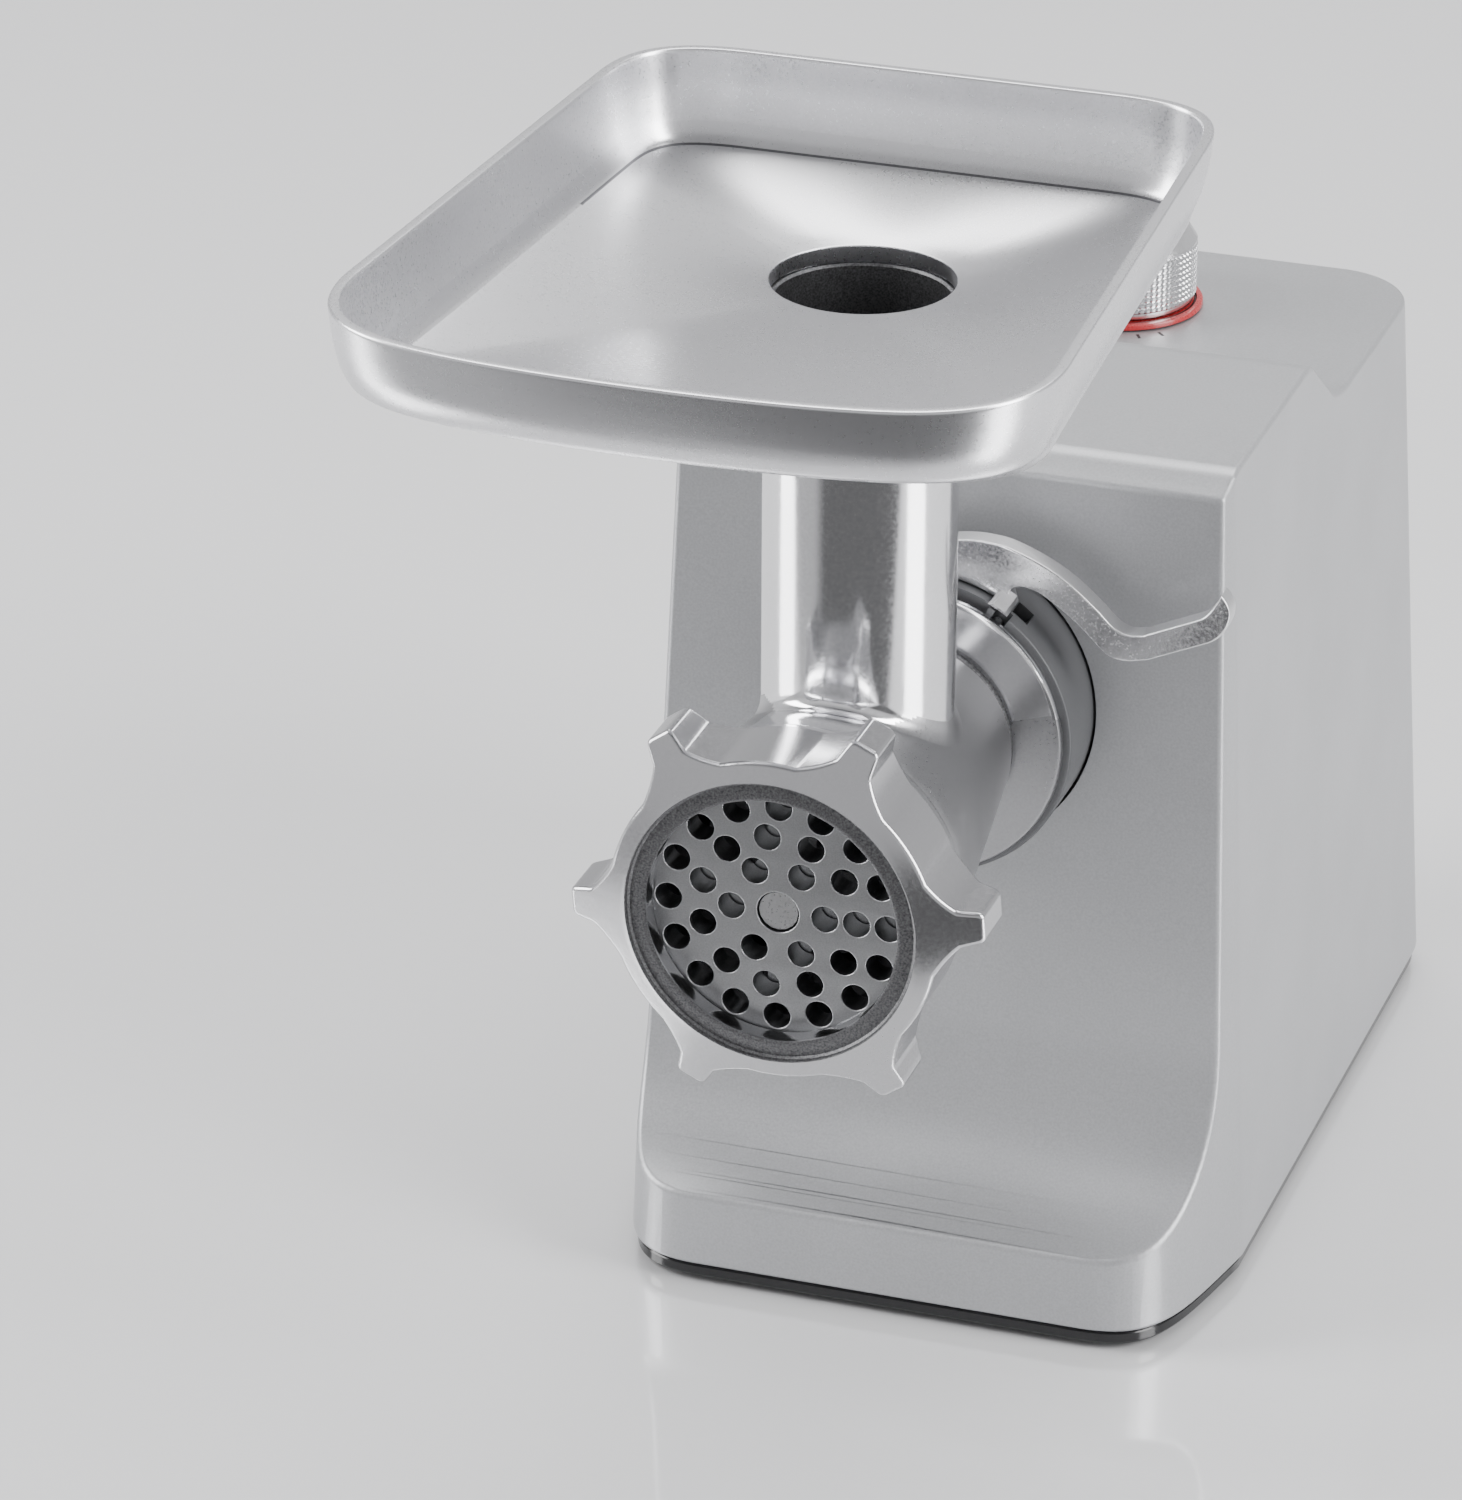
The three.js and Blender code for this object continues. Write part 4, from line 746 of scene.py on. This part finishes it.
def make_nut():
    outline = nut_outline()
    front, back = NUT_LOW.y, NUT_HIGH.y
    reach = NUT["tip"] - NUT["ring"]

    def out(radius):
        """How far out on a lug a radius is, from 0 on the ring to 1 at the tip."""
        return (radius - NUT["ring"]) / reach

    def cone(radius):
        """The front face's place at a radius: it falls back towards the lugs' tips."""
        return front + max(0, NUT["edge_drop"] + (NUT["tip_drop"] - NUT["edge_drop"]) * out(radius))

    def rim(distance, drop):
        """The outline moved inwards, on the front face."""
        return [(p.x, cone(p.length) + drop, p.y + AXIS_Z) for p in inset(outline, distance)]

    def rear(distance, y):
        """The outline moved inwards, on the back face, which comes forward towards the lugs' tips."""
        moved = inset(outline, distance)
        return [(p.x, y - NUT["back_drop"] * max(0, out(p.length)), p.y + AXIS_Z) for p in moved]

    def circle(radius, y):
        return [(p.x, y, p.y + AXIS_Z) for p in (q.normalized() * radius for q in outline)]

    rounding = 0.9
    quarter = [math.radians(18 * i) for i in range(6)]
    face = NUT["face_bore"]
    rings = [circle(face + 0.15, front + 0.12), circle(face + 0.4, front)]
    rings += [circle(face + step, cone(face + step)) for step in (1, 1.7)]
    rings += [rim(rounding * (1 - math.sin(a)), rounding * (1 - math.cos(a))) for a in quarter]
    rings += [rear(rounding * (1 - math.cos(a)), back - rounding * (1 - math.sin(a))) for a in quarter]
    seat = front + NUT["lip"]
    opening, bore = NUT["opening"], NUT["bore"]
    lip = ((0, 1.9), (0.2, 1.2), (0.7, 1), (1.3, 1.05))
    rings += [circle(bore, back), circle(bore, seat)]
    rings += [circle(opening + 0.3, seat), circle(opening, seat - 0.3)]
    rings += [circle(opening + wider, front + drop) for wider, drop in lip]
    rings += [circle(face - 0.5, front + 1.3), circle(face, front + 0.9)]
    nut = skinned("nut_casting", rings, looped=True)

    def zone(centre, normal):
        """1 in the recess round the opening, painted dark as shade, 0 elsewhere."""
        radius = math.hypot(centre.x, centre.z - AXIS_Z)
        return 1 if opening + 0.25 < radius < face + 0.3 and centre.y < front + 2 else 0

    paint_faces(nut, [NUT_METAL, PAINTED_SHADE_CAST], zone)
    dress(nut, "nut", NUT_METAL, ["ring_nut"])


make_nut()


# ---------- Grinding disc ----------
def make_disc():
    """The holed plate, with a half-round keyway in the top of its rim."""
    radius = (DISC_HIGH.x - DISC_LOW.x) / 2
    mouth = math.degrees(math.asin(DISC["key"] / radius))
    keyway = arc(DISC["key"], 0, -180, 10, (0, radius * math.cos(math.radians(mouth))))
    outlines = [arc(radius, 90 + mouth, 450 - mouth, 140) + keyway[1:-1], arc(DISC["bore"], 0, 348, 29)]
    for ring, count in DISC_RINGS:
        outlines += [arc(DISC["hole"], 0, 345, 23, polar(ring, 360 * i / count)) for i in range(count)]
    outlines = [[Vector((p.x, p.y + AXIS_Z)) for p in outline] for outline in outlines]
    disc = plate("disc_plate", outlines, DISC_LOW.y, DISC_HIGH.y, DISC["edge"])
    dress(disc, "head", DISC_STEEL, ["grinding_disc"])


make_disc()


# ---------- Tray ----------
def tray_outline():
    """Rounded trapezoid that is widest ahead of its middle, with a slightly bowed front."""
    front, back = TRAY_LOW.y, TRAY_HIGH.y
    right = [Vector((0, front))]
    right += curve([right[0], (30, front), (48, -197)], 14)
    right += curve([right[-1], (66, -193), (76, -183), (75.8, -163)], 20)
    right += curve([right[-1], (68.5, -32)], 14)
    right += curve([right[-1], (67.5, -14), (58, back - 0.2), (42, back)], 18)
    right += curve([right[-1], (0, back)], 8)
    return right + [Vector((-p.x, p.y)) for p in reversed(right[1:-1])]


def make_tray():
    outline = tray_outline()
    centre = Vector((0, TUBE_Y))
    rim, front = TRAY_HIGH.z, TRAY_LOW.y
    hole, hole_z, under = TRAY["hole"], TRAY["hole_z"], TRAY["under"]

    def circle(radius, z):
        return [(*(centre + (p - centre).normalized() * radius), z) for p in outline]

    def level(section):
        """One closed ring of the tray from a point of its section."""
        distance, depth, sweep = section
        ring = []
        for p, q in zip(inset(outline, distance), outline):
            t = min(1, max(0, (q.y - front) / (TRAY["sweep_from"] - front)))
            share = 1 - t * t * (3 - 2 * t)
            ring.append((p.x, p.y + sweep * share, rim - depth))
        return ring

    outside = [level(v) for v in smooth_path([Vector(v) for v in TRAY_OUTSIDE], 4)]
    edge = TRAY_INSIDE[0][0]
    outer_round = [(0.1, 0.45, 0), (0.3, 0.12, 0), (0.65, 0, 0)]
    inner_round = [(edge - 0.6, 0, 0), (edge - 0.25, 0.12, 0), (edge - 0.05, 0.45, 0)]
    top = [level(v) for v in outer_round + inner_round]
    inside = [level(v) for v in smooth_path([Vector(v) for v in TRAY_INSIDE], 5)]
    lip = circle(hole + 0.5, hole_z)
    floor = []
    floor_steps = 12
    for step in range(floor_steps):
        share = 1 - (step + 1) / (floor_steps + 1)
        ring = []
        for low, high in zip(lip, inside[-1]):
            spot = Vector(low).lerp(Vector(high), share)
            ring.append((spot.x, spot.y, low[2] + (high[2] - low[2]) * share**1.2))
        floor.append(ring)
    bore, collar, low = TUBE["outer"] + 0.4, TRAY["collar"], TRAY_LOW.z
    collar_rings = [circle(bore, low + 0.4), circle(bore + 0.4, low), circle(collar - 0.5, low),
                    circle(collar, low + 0.5), circle(collar, under - 2), circle(collar + 0.8, under - 0.5),
                    circle(collar + 3, under + 0.6)]
    end = [lip, circle(hole + 0.15, hole_z - 0.12), circle(hole, hole_z - 0.45), circle(hole, under),
           circle(bore, under)]
    groups = [collar_rings, outside, top, inside, floor, end]
    tray = skinned("tray_casting", [ring for group in groups for ring in group], looped=True)
    wall_start = len(collar_rings) + len(outside) + len(top)
    wall = range(wall_start, wall_start + 12)
    # The last rings of the inside wall, towards the back, take the painted dark reflection.
    reflection_band = range(wall_start + len(inside) - 3, wall_start + len(inside) - 1)
    for metal in (TRAY_METAL, TRAY_WALL, TRAY_PAINTED_REFLECTION):
        tray.data.materials.append(metal)
    for number, face in enumerate(tray.data.polygons):
        band = number // len(outline)
        face.material_index = 1 if band in wall else 0
        if band in reflection_band and face.center.y / MM > TRAY["painted_reflection_from"]:
            face.material_index = 2
    dress(tray, "tray", TRAY_METAL, ["food_tray"])


make_tray()


# ---------- Knob ----------
def make_knob():
    """The turned grip, whose side is cut by a grid of grooves."""
    radius = (KNOB_HIGH.x - KNOB_LOW.x) / 2
    low, high = KNOB_LOW.z, KNOB_HIGH.z
    columns, rows = 80, 9
    per_cell = 4
    groove_depth = 0.4
    knurl_low, knurl_high = low + 1.6, high - 4.4
    steps = rows * per_cell
    heights = [knurl_low + (knurl_high - knurl_low) * i / steps for i in range(steps + 1)]
    segments = columns * per_cell

    def circle(r, z):
        return [(*polar(r, 360 * i / segments, (0, KNOB_Y)), z) for i in range(segments)]

    rings = [circle(4, low)]
    rings += [circle(radius - less, low + up) for less, up in ((1.1, 0), (0.6, 0.2), (0.45, 1))]
    for row, z in enumerate(heights):
        in_row = row % per_cell == 0
        ring = []
        for i in range(segments):
            in_groove = in_row or i % per_cell == 0
            reach = radius - (groove_depth if in_groove else 0)
            ring.append((*polar(reach, 360 * i / segments, (0, KNOB_Y)), z))
        rings.append(ring)
    crown = [(0.3, 4.1), (0.1, 3.8), (0.1, 3.4), (0.4, 3), (2, 0.5), (2.5, 0.1), (3.2, 0), (4.4, 0)]
    crown.append((4.9, 0.35))
    rings += [circle(radius - less, high - down) for less, down in crown]
    rings += [circle(0.5, high - 0.55)]
    dress(skinned("knob_grip", rings), "knob", KNOB_METAL, ["control_knob"], 30)


def make_knob_ring():
    """The red ring round the knob, with the tick marks of the switch's places in front of it."""
    outer = (RING_HIGH.x - RING_LOW.x) / 2
    a, b = RING_LOW.z, RING_HIGH.z
    profile = [(6.4, a), (outer - 0.2, a), (outer, a + 0.2), (outer, b - 0.5), (outer - 0.15, b - 0.15)]
    profile += [(outer - 0.5, b), (outer - 1.5, b), (outer - 1.7, b - 0.5), (outer - 2, b - 0.5)]
    profile += [(outer - 2.2, b - 0.1), (17, b - 0.1), (16.8, b - 0.6), (6.4, b - 0.6)]
    ring = turned("knob_red_ring", profile, (0, KNOB_Y), "Z", 128)

    def zone(centre, normal):
        """1 in the ring's groove and under the knob, painted darker as shade, 0 elsewhere."""
        beside = Vector((centre.x, centre.y - KNOB_Y)).length
        return 1 if outer - 2.15 < beside < outer - 1.55 or beside < 16.9 else 0

    paint_faces(ring, [RED, RED_PAINTED_SHADE], zone)
    dress(ring, "base", RED, ["knob_ring"])
    first, pitch, half_width = -132, 14, 0.35
    for i in range(7):
        angle = first + pitch * i
        start, end = (polar(outer + gap, angle, (0, KNOB_Y)) for gap in (1.6, 4))
        across = (end - start).normalized().orthogonal() * half_width
        tick = [start - across, end - across, end + across, start + across]
        dress(prism(f"knob_tick_{i}", tick, DECK_Z - 0.2, DECK_Z + 0.06, "Z"), "base", INK)


make_knob()
make_knob_ring()


# ---------- Cord gland ----------
def make_gland():
    place = node_centre("cord_gland").xz
    low, high = GLAND_LOW.y, GLAND_HIGH.y
    profile = [(3.6, low), (6, low), (6, 198.5), (9.3, 198.5), (9.5, 198.8), (9.5, 199.4), (9, 199.8)]
    profile += [(7.6, 200), (7, high - 0.4), (6.4, high), (4.2, high), (3.6, high - 0.6)]
    dress(turned("gland_body", profile, place, segments=64), "base", BLACK, ["cord_gland"])


make_gland()


# ---------- Carried-over CAD nodes ----------
CAD_FINISHES = {
    "housing_paint": SILVER_PAINT,
    "socket_paint": SOCKET_PAINT,
    "cast_aluminium": SATIN_CAST,
    "satin_aluminium": SATIN_CAST,
    "steel": STEEL,
    "black_plastic": BLACK,
    "rubber": RUBBER,
    "red_plastic": RED,
    "nylon": NYLON,
    "copper": COPPER,
    "lamination": LAMINATION,
    "carbon": CARBON,
    "brass": BRASS,
    "board": BOARD,
}


def dress_cad_nodes():
    """Gives every CAD node the finish of its material slot."""
    for part in frame["record"]["subparts"]:
        node = frame["nodes"][part["node"]]
        node.data.materials.clear()
        node.data.materials.append(CAD_FINISHES[part["material_slot"]])


dress_cad_nodes()


# ---------- Floor, light and camera ----------
def make_floor():
    """A pale table top whose front edge is close in front of the object."""
    side, near, far = 1700, -300, 2600
    outline = rounded([(-side, near), (side, near), (side, far), (-side, far)], 400, 10)
    rings = [[(p.x, p.y, z) for p in outline] for z in (-20, 0)]
    floor = skinned("floor", rings)
    floor.data.materials.append(FLOOR)


def soft_light(name, place, target, width, height, power):
    data = bpy.data.lights.new(name, "AREA")
    data.shape = "RECTANGLE"
    data.size, data.size_y = width, height
    data.energy = power
    lamp = bpy.data.objects.new(name, data)
    lamp.location = place
    lamp.rotation_mode = "QUATERNION"
    lamp.rotation_quaternion = (Vector(target) - Vector(place)).to_track_quat("-Z", "Y")
    bpy.context.scene.collection.objects.link(lamp)


def ramp(tree, value, low, high):
    """A soft step from 0 to 1 as a value goes from low to high."""
    found = tree.nodes.new("ShaderNodeMapRange")
    found.interpolation_type = "SMOOTHSTEP"
    found.inputs["From Min"].default_value = low
    found.inputs["From Max"].default_value = high
    link(tree, value, found.inputs["Value"])
    return found.outputs["Result"]


def dot(tree, vector, direction):
    """How far a vector points along a direction."""
    found = tree.nodes.new("ShaderNodeVectorMath")
    found.operation = "DOT_PRODUCT"
    found.inputs[1].default_value = direction
    link(tree, vector, found.inputs[0])
    return found.outputs["Value"]


def shaded(tree, factor, first, second):
    """Mixes two colours, either of them a socket or a plain number of grey, by a factor."""
    mix = tree.nodes.new("ShaderNodeMix")
    mix.data_type = "RGBA"
    link(tree, factor, mix.inputs["Factor"])
    for key, colour in (("A", first), ("B", second)):
        if isinstance(colour, (int, float)):
            mix.inputs[key].default_value = (colour, colour, colour * 1.02, 1)
        else:
            link(tree, colour, mix.inputs[key])
    return mix.outputs["Result"]


def make_world():
    """A pale studio, with the darkness of the room's floor in front of the table."""
    world = bpy.data.worlds.new("studio")
    bpy.context.scene.world = world
    world.use_nodes = True
    tree = world.node_tree
    place = tree.nodes.new("ShaderNodeTexCoord").outputs["Generated"]
    table_front = (0.32, -0.947, 0)
    ahead = dot(tree, place, table_front)
    height = dot(tree, place, (0, 0, 1))
    room = shaded(tree, ramp(tree, height, 0.2, 0.75), 0.78, 0.34)
    pit = shaded(tree, ramp(tree, ahead, 0.5, 0.68), 0.6, 0.16)
    colour = shaded(tree, ramp(tree, height, -0.16, -0.02), pit, room)
    background = tree.nodes["Background"]
    link(tree, colour, background.inputs["Color"])
    background.inputs["Strength"].default_value = 1.0


# The photograph's camera: angles in degrees, lens in millimetres, place in metres.
CAMERA = {"azimuth": 18.711, "elevation": 25.111, "roll": 0.229, "lens": 170.06, "sensor": 36}
CAMERA_PLACE = (0.424573, -1.396683, 0.814411)


def make_camera():
    azimuth, elevation, roll = (math.radians(CAMERA[key]) for key in ("azimuth", "elevation", "roll"))
    forward = Vector((-math.sin(azimuth) * math.cos(elevation), math.cos(azimuth) * math.cos(elevation),
                      -math.sin(elevation)))
    level = Vector((math.cos(azimuth), math.sin(azimuth), 0))
    upright = level.cross(forward)
    right = level * math.cos(roll) + upright * math.sin(roll)
    up = upright * math.cos(roll) - level * math.sin(roll)
    data = bpy.data.cameras.new("camera")
    data.lens = CAMERA["lens"]
    data.sensor_width = CAMERA["sensor"]
    camera = bpy.data.objects.new("camera", data)
    turn = Matrix((right, up, -forward)).transposed().to_4x4()
    camera.matrix_world = Matrix.Translation(CAMERA_PLACE) @ turn
    bpy.context.scene.collection.objects.link(camera)
    bpy.context.scene.camera = camera


make_floor()
make_world()
make_camera()
CENTRE = (0, 0, 0.15)
soft_light("left", (-1.4, -0.4, 0.9), CENTRE, 0.7, 1.3, 34)
soft_light("right", (1.5, -0.15, 0.8), CENTRE, 0.7, 1.3, 40)
soft_light("top", (0.0, 0.9, 1.7), CENTRE, 1.8, 1.0, 34)
